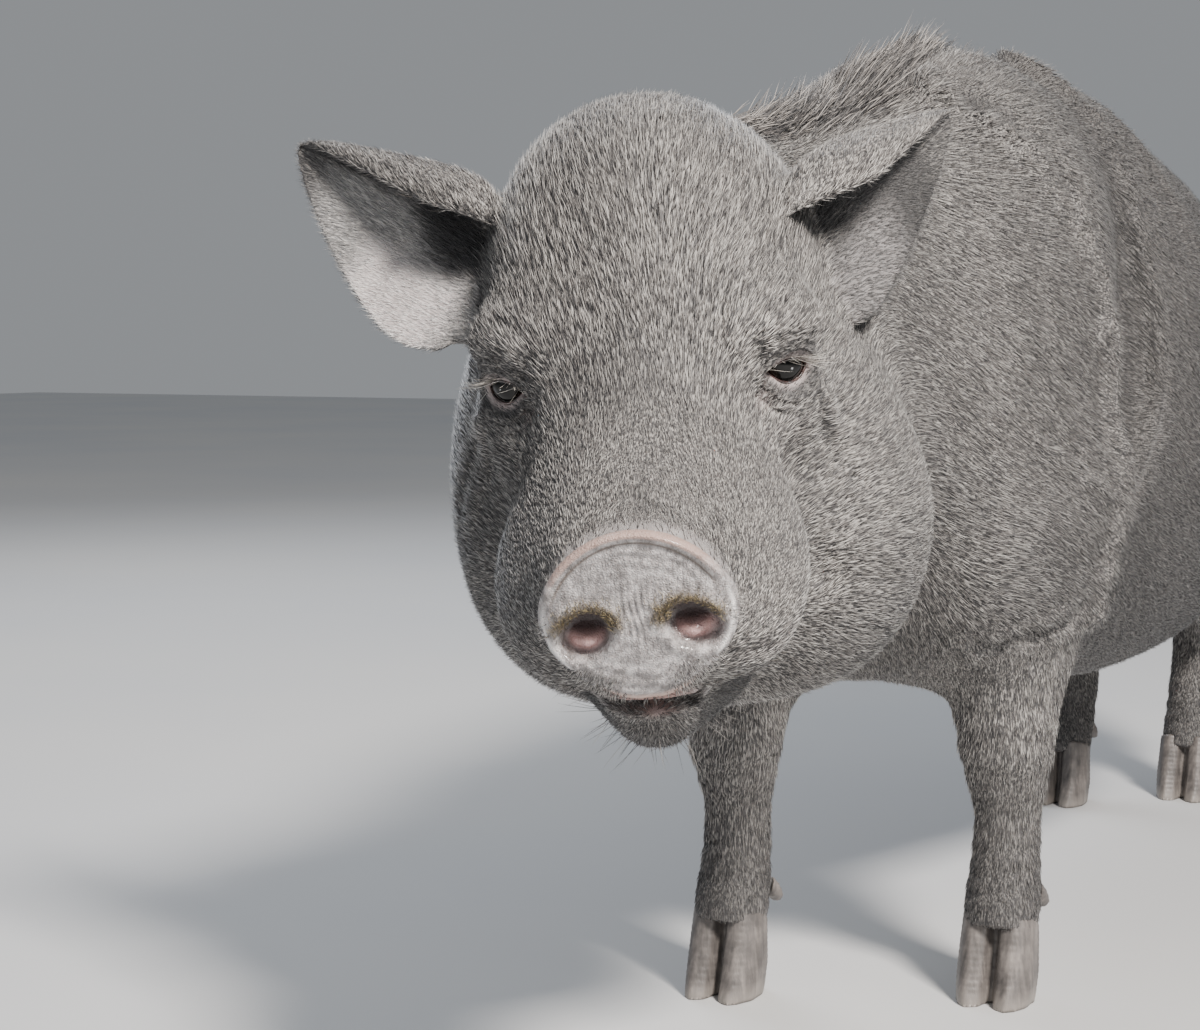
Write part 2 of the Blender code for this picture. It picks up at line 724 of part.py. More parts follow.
CLAW_LEVELS = (  # height, front, back and half the width
    (0.0, -0.0335, 0.0100, 0.0098),
    (0.016, -0.0270, 0.0120, 0.0103),
    (0.030, -0.0205, 0.0120, 0.0098),
    (0.044, -0.0150, 0.0120, 0.0094),
)
CLEFT = 0.0006  # half the least gap between a foot's two claws
INNER_FLATNESS = 1.5  # how much sooner a claw reaches its width on the side of the cleft
TOE_PINCH = 0.35  # how much narrower a claw is at its toe


def claw(foot, half):
    """One of a foot's two main claws. half is 1 for the claw on the left."""
    x, y = FEET[foot][1]
    rings = []
    for z, front, back, wide in CLAW_LEVELS:
        ring = []
        for i in range(10):
            angle = 2.0 * math.pi * (i + 0.5) / 10
            u, v = math.cos(angle), math.sin(angle)
            across = wide * (u if u > 0.0 else max(u * INNER_FLATNESS, -1.0))
            across *= 1.0 - TOE_PINCH * max(0.0, -v) ** 3
            length = (front + back) / 2 + v * (back - front) / 2
            ring.append((x + half * (wide + GAP + across + CLEFT), y + length, z))
        rings.append(ring)
    name = f"claw_{foot}_{'outer' if half == FEET[foot][0] else 'inner'}"
    obj = lofted(name, rings)
    boolean(obj, "DIFFERENCE", half_space("above", coronet(foot, -GAP), CORONET_WAY, 0.1))
    return obj


CORONET_WAY = Vector((0.0, 0.34, 1.0)).normalized()


def coronet(foot, shift=0.0):
    """The middle of the sloping line where skin meets horn."""
    x, y = FEET[foot][1]
    return Vector((x, y - 0.004, HOOF_HEIGHT)) + CORONET_WAY * shift


DEWCLAW_ROOT = (0.0105, 0.012, 0.060)  # outward of, behind and above the foot's place
DEWCLAW_TIP = (0.0135, 0.031, 0.043)
DEWCLAW_HIND_SHIFT = 0.004
DEWCLAW_RINGS = ((0.0, 0.0064), (0.55, 0.0066), (0.85, 0.0052), (1.0, 0.0026))  # share of the length, radius
DEWCLAW_FLATNESS = 0.8


def dewclaw(foot, half):
    """One of the two small claws behind a foot."""
    x, y = FEET[foot][1]
    base = Vector((x, y + (DEWCLAW_HIND_SHIFT if foot.startswith("hind") else 0.0), 0.0))
    start = base + Vector((half * DEWCLAW_ROOT[0], *DEWCLAW_ROOT[1:]))
    end = base + Vector((half * DEWCLAW_TIP[0], *DEWCLAW_TIP[1:]))
    way = (end - start).normalized()
    side_way = way.cross(Vector((0.0, 0.0, 1.0))).normalized()
    up_way = side_way.cross(way)
    rings = []
    for share, radius in DEWCLAW_RINGS:
        middle = start.lerp(end, share)
        flat = radius * DEWCLAW_FLATNESS
        rings.append(ring_points(radius, flat, 7, lambda u, v, at=middle: at + side_way * u + up_way * v))
    name = f"dewclaw_{foot}_{'outer' if half == FEET[foot][0] else 'inner'}"
    return lofted(name, rings)


TAIL_LINE = (  # x, y, z and radius, from the rump down
    (0.0, 0.395, 0.385, 0.0150),
    (0.0, 0.428, 0.372, 0.0125),
    (0.002, 0.446, 0.335, 0.0095),
    (0.004, 0.450, 0.285, 0.0070),
    (0.004, 0.448, 0.235, 0.0050),
)


def tail():
    """A straight tail that hangs from the rump, with a flat tuft."""
    side_way = Vector((1.0, 0.0, 0.0))
    middles = [Vector(point[:3]) for point in TAIL_LINE]
    rings = []
    for i, middle in enumerate(middles):
        way = middles[min(i + 1, len(middles) - 1)] - middles[max(i - 1, 0)]
        up_way = side_way.cross(way).normalized()
        radius = TAIL_LINE[i][3]
        rings.append(ring_points(radius, radius, 10, lambda u, v, at=middle: at + side_way * u + up_way * v))
    obj = lofted("tail", rings)
    fuse(obj, tuft())
    return obj


# Locks of bristles, flat and tapered

LOCK_RINGS = ((0.0, 0.80), (0.34, 1.0), (0.70, 0.72), (1.0, 0.08))  # share of the length, share of the width
LOCK_SUNK = 0.0055  # how deep a lock's root sits
LOCK_THICKNESS = 0.0055
LOCK_ARCH = 0.62 * math.pi  # a lock rises, then bends back to the body


def lock(root, outward, way, length, width, rise, sway=0.0):
    """One closed lock that grows from root along way and rises from the skin."""
    way = (way - outward * way.dot(outward)).normalized()
    across = outward.cross(way)
    rings = []
    for share, size in LOCK_RINGS:
        height = (LOCK_SUNK + rise) * math.sin(share * LOCK_ARCH) - LOCK_SUNK
        middle = root + way * (share * length) + outward * height + across * (sway * share * share)
        wide, thick = across * (width * size / 2), outward * (LOCK_THICKNESS * size / 2)
        rings.append([middle + wide, middle + thick, middle - wide, middle - thick])
    return lofted("lock", rings)


CREST_LINE = ((-0.020, -0.428), (-0.010, -0.370), (0.0, -0.300), (0.0, -0.060))  # x, y along the back's ridge
CREST_ROWS = 19
CREST_SPREAD = 0.0085  # from the ridge to each lock of a row of two
CREST_STRAY = 0.0025
CREST_LOCK = (0.044, 0.020, 0.0095)  # length, width and rise at the withers


def crest():
    """The short mane of bristles from the nape over the withers: rows of two locks and of one, laid back."""
    draw = np.random.default_rng(11)
    ys = np.linspace(CREST_LINE[0][1], CREST_LINE[-1][1], CREST_ROWS)
    xs = np.interp(ys, [y for _, y in CREST_LINE], [x for x, _ in CREST_LINE])
    starts = []
    for row, (x, y) in enumerate(zip(xs, ys)):
        for shift in ((-CREST_SPREAD, CREST_SPREAD) if row % 2 else (0.0,)):
            stray = draw.uniform(-CREST_STRAY, CREST_STRAY, 2)
            starts.append((x + shift + stray[0], y + stray[1], BACK_HEIGHT))
    roots, outward = on_surface(pig_field, starts)
    locks = []
    for root, out in zip(roots, outward):
        fullness = 0.6 + 0.4 * math.sin(math.pi * (root[1] - ys[0]) / (ys[-1] - ys[0]))
        length, width, rise = (size * fullness * draw.uniform(0.88, 1.12) for size in CREST_LOCK)
        sway = draw.uniform(-0.005, 0.005)
        locks.append(lock(Vector(root), Vector(out), Vector((0.0, 1.0, 0.0)), length, width, rise, sway))
    return locks


TUFT_LOCKS = 5
TUFT_TOP, TUFT_END = 0.300, 0.243  # heights of the highest and the lowest root on the tail
TUFT_LOCK = (0.052, 0.013, 0.003)  # length, width and rise
TUFT_FAN = math.radians(20.0)  # how far the highest locks lean out to the sides


def tuft():
    """The tail's flat brush: locks that leave both of its sides and hang down."""
    draw = np.random.default_rng(5)
    heights = [point[2] for point in TAIL_LINE[::-1]]
    locks = []
    for i in range(TUFT_LOCKS):
        share = i / (TUFT_LOCKS - 1)
        z = TUFT_TOP + (TUFT_END - TUFT_TOP) * share
        x, y = (np.interp(z, heights, [point[k] for point in TAIL_LINE[::-1]]) for k in (0, 1))
        lean = (-1.0 if i % 2 else 1.0) * TUFT_FAN * (1.0 - 0.7 * share)
        way = Vector((math.sin(lean), 0.0, -math.cos(lean)))
        length = TUFT_LOCK[0] * draw.uniform(0.9, 1.1)
        root = Vector((x, y, z))
        locks.append(lock(root, Vector((0.0, 1.0, 0.0)), way, length, TUFT_LOCK[1], TUFT_LOCK[2]))
    return locks


HEAD_LOW = (-0.125, DISC_CENTRE[1] - 0.02, -0.175)
HEAD_HIGH = (0.130, HEAD_BACK, 0.125)


def head_room():
    """The block of space that belongs to the head."""
    obj = block("head_room", Vector(HEAD_LOW) - Vector((GAP,) * 3), Vector(HEAD_HIGH) + Vector((GAP,) * 3))
    obj.data.transform(HEAD_MATRIX)
    return obj


def head_of_pig():
    """The head's flesh, with its seat for the disc and the line of the mouth."""

    def field(points):
        placed = points @ np.array(HEAD_MATRIX)[:3, :3].T + np.array(HEAD_MATRIX)[:3, 3]
        return pig_field(placed)

    obj = skinned("head", field, HEAD_LOW, HEAD_HIGH, HEAD_STEP, HEAD_TRIANGLES)
    obj.data.transform(HEAD_MATRIX)
    frame = disc_frame()
    seat = frame @ Vector((0.0, DISC_THICKNESS + GAP, 0.0))
    outward = frame.to_3x3() @ Vector((0.0, -1.0, 0.0))
    boolean(obj, "DIFFERENCE", half_space("front", seat, outward, 0.3))
    boolean(obj, "DIFFERENCE", mouth_cut())
    return obj


# Each leg's room: its shift back, half its width and half its length
LEG_ROOMS = {"fore": (0.012, 0.050, 0.060), "hind": (0.024, 0.050, 0.067)}
LEG_TOP = 0.215


def leg(name, foot):
    x, y = FEET[foot][1]
    low = (x - 0.060, y - 0.065, 0.010)
    high = (x + 0.060, y + 0.100, LEG_TOP + 0.03)
    obj = skinned(name, pig_field, low, high, LEG_STEP, LEG_TRIANGLES)
    boolean(obj, "INTERSECT", leg_room(foot, 0.0))
    boolean(obj, "DIFFERENCE", half_space("below", coronet(foot), -CORONET_WAY, 0.3))
    return obj


def leg_room(foot, grow):
    """The round room that parts a leg from the body, on the leg's own side of the midline."""
    side, (x, y) = FEET[foot]
    shift, wide, long = LEG_ROOMS[foot[:4]]
    rings = []
    for z, share in ((-0.02, 1.0), (LEG_TOP + grow, 1.0)):
        ring = []
        for i in range(20):
            angle = 2.0 * math.pi * i / 20
            across = x + (wide * share + grow) * math.cos(angle)
            across = side * max(side * across, GAP / 2 - grow)
            ring.append((across, y + shift + (long * share + grow) * math.sin(angle), z))
        rings.append(ring)
    return lofted("leg_room", rings)


def centre_on_floor(objects):
    """Moves everything so that the pig's bounding box is centred on x = y = 0."""
    corners = np.array([vert.co[:2] for obj in objects for vert in obj.data.vertices])
    shift = Vector((*((corners.min(axis=0) + corners.max(axis=0)) / -2), 0.0))
    for obj in objects:
        obj.data.transform(Matrix.Translation(shift))
    return shift


def finish_of(name):
    """Name of the finish that a piece has."""
    if name.startswith(("claw", "dewclaw")):
        return "horn"
    if name.startswith("eye"):
        return "eye"
    if name.startswith("snout"):
        return "snout"
    return "hide"


def paint(objects):
    finishes = {
        "hide": ((0.165, 0.150, 0.138), 0.62),
        "snout": ((0.300, 0.255, 0.240), 0.38),
        "eye": ((0.030, 0.020, 0.016), 0.08),
        "horn": ((0.130, 0.110, 0.095), 0.50),
    }
    for obj in objects:
        colour, roughness = finishes[finish_of(obj.name)]
        obj.data.materials.clear()
        obj.data.materials.append(material(obj.name, colour, roughness))


def build_head():
    snout_disc()
    head = head_of_pig()
    for side in (1, -1):
        ball = eyeball(side)
        boolean(head, "DIFFERENCE", eye_opening(side))
        boolean(head, "DIFFERENCE", copied(ball, "room", GAP))
    for side in (1, -1):
        boolean(ear(side), "DIFFERENCE", copied(head, "room", GAP))


def build_legs(body):
    for foot in FEET:
        shank = leg(f"leg_{foot}", foot)
        boolean(body, "DIFFERENCE", leg_room(foot, GAP))
        for half in (1, -1):
            claw(foot, half)
            boolean(dewclaw(foot, half), "DIFFERENCE", copied(shank, "room", GAP))


def build_body():
    body = skinned("torso", pig_field, BODY_LOW, BODY_HIGH, BODY_STEP, BODY_TRIANGLES)
    fuse(body, crest())
    boolean(body, "DIFFERENCE", head_room())
    build_legs(body)
    neck = copied(body, "neck")
    boolean(neck, "DIFFERENCE", half_space("behind", NECK_JOINT - NECK_WAY * GAP, NECK_WAY, 1.4))
    boolean(body, "INTERSECT", half_space("behind", NECK_JOINT, NECK_WAY, 1.4))
    boolean(tail(), "DIFFERENCE", copied(body, "room", GAP))


def main():
    clear_scene()
    build_head()
    build_body()
    pieces = list(bpy.data.objects)
    paint(pieces)
    return centre_on_floor(pieces)


ORIGIN_SHIFT = main()
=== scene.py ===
# %% [markdown]
# # A pot-bellied pig, life size
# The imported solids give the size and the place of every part. This lesson dresses them: one skin with its
# folds and lids, wet eyes, a snout disc, horn claws, and a coat of short bristles made with Geometry
# Nodes. The solids are loaded first, as a frame that never moves.

# %% Load the frame
import math

import bmesh
import bpy
import numpy as np
from mathutils import Matrix, Vector
from mathutils.kdtree import KDTree


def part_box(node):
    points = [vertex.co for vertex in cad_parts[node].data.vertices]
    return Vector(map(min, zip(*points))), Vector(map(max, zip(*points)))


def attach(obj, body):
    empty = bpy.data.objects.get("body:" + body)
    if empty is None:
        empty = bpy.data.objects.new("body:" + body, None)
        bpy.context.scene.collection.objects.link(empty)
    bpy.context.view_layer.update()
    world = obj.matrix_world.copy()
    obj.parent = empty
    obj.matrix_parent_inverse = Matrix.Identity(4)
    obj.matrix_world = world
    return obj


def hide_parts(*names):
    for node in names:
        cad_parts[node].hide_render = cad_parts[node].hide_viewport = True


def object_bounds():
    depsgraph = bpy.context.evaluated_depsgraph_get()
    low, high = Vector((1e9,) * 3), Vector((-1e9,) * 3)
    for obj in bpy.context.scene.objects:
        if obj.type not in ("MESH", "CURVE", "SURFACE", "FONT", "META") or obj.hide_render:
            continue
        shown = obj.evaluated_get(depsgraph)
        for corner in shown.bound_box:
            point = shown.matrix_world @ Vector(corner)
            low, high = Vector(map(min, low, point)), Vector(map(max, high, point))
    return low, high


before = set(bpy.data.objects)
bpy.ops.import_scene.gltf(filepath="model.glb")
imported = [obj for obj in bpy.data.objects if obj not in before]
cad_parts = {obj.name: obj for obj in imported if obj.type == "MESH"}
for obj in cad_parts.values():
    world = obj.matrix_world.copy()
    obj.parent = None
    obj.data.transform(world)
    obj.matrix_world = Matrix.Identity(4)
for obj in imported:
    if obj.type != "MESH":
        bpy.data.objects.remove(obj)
cad_box = [list(corner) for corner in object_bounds()]
print("solids' box", cad_box)

# %% Small helpers for meshes
def values_of(items, key, width=1, kind=float):
    """One property of all the items as an array, with its numbers in rows where it has several."""
    flat = np.empty(len(items) * width, kind)
    items.foreach_get(key, flat)
    return flat.reshape(-1, width) if width > 1 else flat


def points_of(mesh):
    """The mesh's vertices as an array."""
    return values_of(mesh.vertices, "co", 3)


def normals_of(mesh):
    """The vertices' outward directions as an array."""
    return values_of(mesh.vertex_normals, "vector", 3)


def edges_of(mesh):
    """The edges' vertex numbers as an array."""
    return values_of(mesh.edges, "vertices", 2, np.int64)


def corners_of(mesh):
    """The vertex number of each corner of each face."""
    return values_of(mesh.loops, "vertex_index", 1, np.int64)


def triangles(mesh):
    """How many triangles the faces make."""
    return sum(len(polygon.vertices) - 2 for polygon in mesh.polygons)


def put_points(mesh, points):
    """Writes the array back to the mesh."""
    mesh.vertices.foreach_set("co", np.ascontiguousarray(points).ravel())
    mesh.update()


def store(mesh, name, values):
    """Stores one number, or one vector, for each point of the mesh."""
    values = np.asarray(values, float)
    kind, key = ("FLOAT_VECTOR", "vector") if values.ndim == 2 else ("FLOAT", "value")
    if name in mesh.attributes:
        mesh.attributes.remove(mesh.attributes[name])
    mesh.attributes.new(name, kind, "POINT").data.foreach_set(key, values.ravel())


def linked(name, data):
    """A new object in the scene."""
    obj = bpy.data.objects.new(name, data)
    bpy.context.scene.collection.objects.link(obj)
    return obj


def mesh_from(bm, name):
    """The mesh that a bmesh describes; the bmesh is used up."""
    mesh = bpy.data.meshes.new(name)
    bm.to_mesh(mesh)
    bm.free()
    return mesh


def lofted(name, rings, closed=False, triangulated=False):
    """A mesh through rings of points, capped at both ends unless it closes on itself."""
    bm = bmesh.new()
    rings = [[bm.verts.new(place) for place in ring] for ring in rings]
    following_rings = rings[1:] + (rings[:1] if closed else [])
    for ring, following in zip(rings, following_rings):
        for i in range(len(ring)):
            k = (i + 1) % len(ring)
            bm.faces.new((ring[i], ring[k], following[k], following[i]))
    if not closed:
        bm.faces.new(rings[0])
        bm.faces.new(rings[-1])
    if triangulated:
        bmesh.ops.triangulate(bm, faces=bm.faces)
    bmesh.ops.recalc_face_normals(bm, faces=bm.faces)
    mesh = mesh_from(bm, name)
    mesh.shade_smooth()
    return mesh


def step(values, start, end):
    """Rises smoothly from 0 at start to 1 at end."""
    share = np.clip((values - start) / (end - start), 0.0, 1.0)
    return share * share * (3.0 - 2.0 * share)


def bell(distance, width):
    """1 at no distance, fading like a bell to a third at the width."""
    return np.exp(-((distance / width) ** 2))


# %% [markdown]
# ## Landmarks
# A face is built round its eyes. The head has a frame of its own: its origin lies between the temples, -Y
# runs along the muzzle and X to the animal's left. It is turned, lowered and rolled as the solids' head
# is, and the printed distances show that the two agree.

# %% Landmarks of the head
STAND = Vector((0.02371, 0.09740, 0.0))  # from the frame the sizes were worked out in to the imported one
HEAD_TURN, HEAD_DROP, HEAD_ROLL = math.radians(24.2), math.radians(27.0), math.radians(-5.0)
HEAD = (
    Matrix.Translation(STAND + Vector((-0.0072, -0.5183, 0.330)))
    @ Matrix.Rotation(HEAD_TURN, 4, "Z")
    @ Matrix.Rotation(HEAD_DROP, 4, "X")
    @ Matrix.Rotation(HEAD_ROLL, 4, "Y")
)
HEAD_BACK = 0.112
EYE = Vector((0.0546, -0.0035, 0.0080))
EYE_RADIUS = 0.0120
EYE_OUTWARD = math.radians(32.0)
EYE_TILT = math.radians(-12.0)
OPENING = (0.0097, 0.0052)  # half the length and half the height between the lids
DISC_CENTRE = Vector((0.0, -0.1540, -0.0150))
DISC_TURN = Matrix.Rotation(math.radians(-13.0), 4, "X") @ Matrix.Rotation(math.radians(-3.0), 4, "Y")
DISC = HEAD @ Matrix.Translation(DISC_CENTRE) @ DISC_TURN
FORE_FEET = {1: (0.068, -0.247), -1: (-0.064, -0.303)}
HIND_FEET = {1: (0.041, 0.307), -1: (-0.038, 0.245)}
FEET = [Vector((*place, 0.0)) + STAND for place in (*FORE_FEET.values(), *HIND_FEET.values())]


def into(points, matrix):
    """The points as the given frame sees them."""
    inverse = np.array(matrix.inverted())
    return points @ inverse[:3, :3].T + inverse[:3, 3]


def out_of(points, matrix):
    """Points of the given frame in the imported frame."""
    forward = np.array(matrix)
    return points @ forward[:3, :3].T + forward[:3, 3]


def eye_frame(side):
    """The eye's frame: X along the opening, Y up across it, Z out along the gaze."""
    gaze = Vector((math.sin(EYE_OUTWARD) * side, -math.cos(EYE_OUTWARD), 0.0))
    across = Vector((math.cos(EYE_OUTWARD) * side, math.sin(EYE_OUTWARD), 0.0))
    up = Vector((0.0, 0.0, 1.0))
    long_way = across * math.cos(EYE_TILT) + up * math.sin(EYE_TILT)
    short_way = up * math.cos(EYE_TILT) - across * math.sin(EYE_TILT)
    turned = Matrix((long_way, short_way, gaze)).transposed().to_4x4()
    return HEAD @ Matrix.Translation((EYE.x * side, EYE.y, EYE.z)) @ turned


for side, name in ((1, "eye_left"), (-1, "eye_right")):
    low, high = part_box(name)
    print(name, "is off by", round((eye_frame(side).translation - (low + high) / 2).length * 1000, 2), "mm")

# %% [markdown]
# ## Camera, floor and light
# The camera stands a little over a metre from the face, at the height of the animal's forehead, and sees
# it from its left. A broad light high on the right models the sun that falls on the face, a weak one
# fills the far cheek, and a third marks off the back from the ground. The floor runs on to a pale
# horizon.

# %% Camera
LENS, SENSOR = 64.29, 36.0  # millimetres
FRAME_SHIFT = 0.00417  # the photograph's frame reaches a little further up than down
CAMERA_AT = Vector((0.404, -1.336, 0.35))
SEEN_FROM, LOOKS_DOWN = math.radians(28.0), math.radians(4.9)
view = bpy.data.cameras.new("camera")
view.lens, view.sensor_width, view.shift_y, view.clip_start = LENS, SENSOR, FRAME_SHIFT, 0.05
camera = linked("camera", view)
camera.location = STAND + CAMERA_AT
look = Vector((-math.sin(SEEN_FROM), math.cos(SEEN_FROM), -math.tan(LOOKS_DOWN))).normalized()
camera.rotation_euler = look.to_track_quat("-Z", "Y").to_euler()
bpy.context.scene.camera = camera
print("camera at", [round(v, 3) for v in camera.location])

# %% One function for nodes and one for colours
def give(tree, node, inputs):
    """Gives the node's inputs plain values or other nodes' outputs."""
    for key, value in inputs.items():
        if isinstance(value, bpy.types.NodeSocket):
            tree.links.new(value, node.inputs[key])
        else:
            node.inputs[key].default_value = value


def add(tree, kind, inputs=None, **settings):
    """Adds a node with its settings and inputs."""
    made = tree.nodes.new(kind)
    for name, value in settings.items():
        setattr(made, name, value)
    give(tree, made, inputs or {})
    return made


def colour(hex_code):
    """An sRGB hex colour as the linear one that Blender reads."""
    parts = [int(hex_code[i:i + 2], 16) / 255 for i in (1, 3, 5)]
    return (*[p / 12.92 if p <= 0.04045 else ((p + 0.055) / 1.055) ** 2.4 for p in parts], 1.0)


def new_material(name):
    """A material, its tree and its Principled shader."""
    made = bpy.data.materials.new(name)
    made.use_nodes = True
    tree = made.node_tree
    return made, tree, tree.nodes["Principled BSDF"]


def ramp(tree, factor, *stops):
    """A colour ramp of hex colours at the given places."""
    made = add(tree, "ShaderNodeValToRGB", {"Fac": factor})
    elements = made.color_ramp.elements
    elements.remove(elements[-1])
    elements[0].position, elements[0].color = stops[0][0], colour(stops[0][1])
    for place, hex_code in stops[1:]:
        elements.new(place).color = colour(hex_code)
    return made.outputs["Color"]


def over(tree, under, hex_code, amount):
    """A flat colour laid over another by an amount."""
    made = add(tree, "ShaderNodeMix", {"Factor": amount, 6: under, 7: colour(hex_code)}, data_type="RGBA")
    return made.outputs[2]


def reading(tree, name, output="Fac"):
    """One of a mesh's maps, read in a material."""
    return add(tree, "ShaderNodeAttribute", attribute_name=name).outputs[output]


# %% Floor and world
# Trowelled concrete, painted pale: nearly matt, with a slow drift of tone and a fine sandy grain.
floor_paint, tree, shader = new_material("pale_painted_concrete")
where = add(tree, "ShaderNodeTexCoord").outputs["Object"]
drift = add(tree, "ShaderNodeTexNoise", {"Vector": where, "Scale": 1.3, "Detail": 4.0})
grain = add(tree, "ShaderNodeTexNoise", {"Vector": where, "Scale": 420.0, "Detail": 2.0})
tone = ramp(tree, drift.outputs["Fac"], (0.3, "#c2c4c7"), (0.7, "#cbcbca"))
rough = add(tree, "ShaderNodeBump", {"Height": grain.outputs["Fac"], "Strength": 0.08, "Distance": 0.001})
give(tree, shader, {"Base Color": tone, "Normal": rough.outputs["Normal"], "Roughness": 0.62})

FLOOR_REACH = 9.0
SQUARE = ((-1, -1), (1, -1), (1, 1), (-1, 1))
plane = bpy.data.meshes.new("floor")
plane.from_pydata([(x * FLOOR_REACH, y * FLOOR_REACH, 0.0) for x, y in SQUARE], [], [(0, 1, 2, 3)])
floor = linked("floor", plane)
floor.data.materials.append(floor_paint)

SKY_STRENGTH = 0.38
world = bpy.data.worlds.new("studio")
bpy.context.scene.world = world
world.use_nodes = True
sky = world.node_tree.nodes["Background"]
give(world.node_tree, sky, {"Color": colour("#dfe3e8"), "Strength": SKY_STRENGTH})


def area_light(name, place, aim, size, power, hex_code):
    """A square soft light that looks at a point."""
    lamp = bpy.data.lights.new(name, "AREA")
    lamp.size = size
    lamp.energy = power
    lamp.color = colour(hex_code)[:3]
    obj = linked(name, lamp)
    obj.location = place
    obj.rotation_euler = (Vector(aim) - Vector(place)).to_track_quat("-Z", "Y").to_euler()
    obj.visible_camera = False


face = HEAD.translation
right = Vector((math.cos(SEEN_FROM), math.sin(SEEN_FROM), 0.0))
toward = Vector((math.sin(SEEN_FROM), -math.cos(SEEN_FROM), 0.0))


def beside_face(across, near, up):
    """A place so far to the right of the face as the camera sees it, nearer to the camera, and higher."""
    return face + right * across + toward * near + Vector((0.0, 0.0, up))


area_light("key", beside_face(1.00, 1.50, 1.75), face + Vector((0.0, 0.1, 0.0)), 0.50, 178.0, "#fff8f1")
area_light("fill", beside_face(-1.6, 1.0, 0.6), face, 1.6, 3.5, "#dfe8f5")
area_light("rim", beside_face(-0.6, -2.2, 1.6), STAND + Vector((0.0, 0.0, 0.3)), 1.2, 34.0, "#eef3fb")

# A small lamp for each eye stands where the wet ball mirrors it to the camera, as a bright spot.
GLINT_RISE = 0.12  # how far above the middle of the eye the spot sits, as a slope
GLINT_DISTANCE, GLINT_SIZE, GLINT_POWER = 0.80, 0.15, 1.5
for side, name in ((1, "glint_left"), (-1, "glint_right")):
    outward = (eye_frame(side).to_3x3() @ Vector((0.0, GLINT_RISE, 1.0))).normalized()
    glint = eye_frame(side).translation + outward * EYE_RADIUS
    seen = (camera.location - glint).normalized()
    mirrored_way = 2.0 * outward.dot(seen) * outward - seen
    area_light(name, glint + mirrored_way * GLINT_DISTANCE, glint, GLINT_SIZE, GLINT_POWER, "#ffffff")

# %% Distance from a path
def from_path(points, path):
    """Each point's distance from a path of straight lengths, and how far along it is, from 0 to 1."""
    path = np.array(path, float)
    nearest = np.full(len(points), 9.0)
    along = np.zeros(len(points))
    for i, (start, end) in enumerate(zip(path, path[1:])):
        way = end - start
        share = np.clip((points - start) @ way / max(way @ way, 1e-12), 0.0, 1.0)
        distance = np.linalg.norm(points - start - share[:, None] * way, axis=1)
        closer = distance < nearest
        nearest[closer] = distance[closer]
        along[closer] = (i + share[closer]) / (len(path) - 1)
    return nearest, along


# %% [markdown]
# ## One skin
# The solids are cut into nodes, and a real pig has no joints in its hide. The nodes of flesh are copied,
# swollen by a hair so that their thin gaps close, and remeshed on a fine grid as one body. The tail is
# laid in as a bare tube, and the ridge of the back is laid bare of its mane, because both come back later
# as hair. The body is then thinned where it is plain, and the head keeps the fine faces, as lids and lips
# need them.

# %% Join the flesh on one grid
FLESH = ["torso", "neck", "head", "snout", "eye_left", "eye_right"]
FEET_NAMES = [f"{end}_{side}" for end in ("fore", "hind") for side in ("left", "right")]
FLESH += ["leg_" + foot for foot in FEET_NAMES]
SWELL = 0.0004  # closes the 0.3 mm gap between two nodes
VOXEL = 0.0026


CREST_LINE = ((-0.020, -0.428), (-0.010, -0.370), (0.0, -0.300), (0.0, -0.060))  # x, y before STAND is added
CREST_HALF = 0.0265  # the solids' mane keeps within this of the ridge
BESIDE_CREST = (0.0240, 0.0550)  # from here to here, the back beside the mane shows its true height
BACK_HEIGHT = (0.38, 0.40)  # the back beside the mane, and the mane itself, lie above these
FIT_REACH = 0.022  # how far along the back the height is averaged
FIT_LEAST = 4.0  # the summed weight of the points that a height needs to be sure


def ridge_place(points):
    """How far each point lies beside the line of the ridge, and its place along the back."""
    x, y = points[:, 0] - STAND.x, points[:, 1] - STAND.y
    return x - np.interp(y, [place[1] for place in CREST_LINE], [place[0] for place in CREST_LINE]), y


def lay_ridge_bare(mesh):
    """Lowers the mane's points on to the curve that the back beside it follows."""
    points = points_of(mesh)
    beside, y = ridge_place(points)
    clean = (np.abs(beside) > BESIDE_CREST[0]) & (np.abs(beside) < BESIDE_CREST[1])
    clean &= points[:, 2] > BACK_HEIGHT[0]
    near = (np.abs(beside) < CREST_HALF) & (y > CREST_LINE[0][1] - 0.02) & (y < CREST_LINE[-1][1] + 0.06)
    for i in np.nonzero(near & (points[:, 2] > BACK_HEIGHT[1]))[0]:
        weight = np.exp(-0.5 * ((y[clean] - y[i]) / FIT_REACH) ** 2)
        terms = np.stack([np.ones(clean.sum()), beside[clean], beside[clean] ** 2, y[clean] - y[i]], axis=1)
        found = np.linalg.lstsq(terms * weight[:, None], points[clean, 2] * weight, rcond=None)[0]
        height = found[0] + found[1] * beside[i] + found[2] * beside[i] ** 2
        if weight.sum() > FIT_LEAST and points[i, 2] > height - 0.004:
            points[i, 2] = height - 0.0005
    put_points(mesh, points)


def merged_copy(name, swell):
    """A CAD node's mesh with its loose triangles merged, grown along its normals."""
    bm = bmesh.new()
    bm.from_mesh(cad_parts[name].data)
    bmesh.ops.remove_doubles(bm, verts=bm.verts, dist=1e-5)
    bm.normal_update()
    for vertex in bm.verts:
        vertex.co += vertex.normal * swell
    return mesh_from(bm, name + "_copy")


def joined(meshes, name):
    """One object that holds all the meshes."""
    bm = bmesh.new()
    for mesh in meshes:
        bm.from_mesh(mesh)
    return linked(name, mesh_from(bm, name))


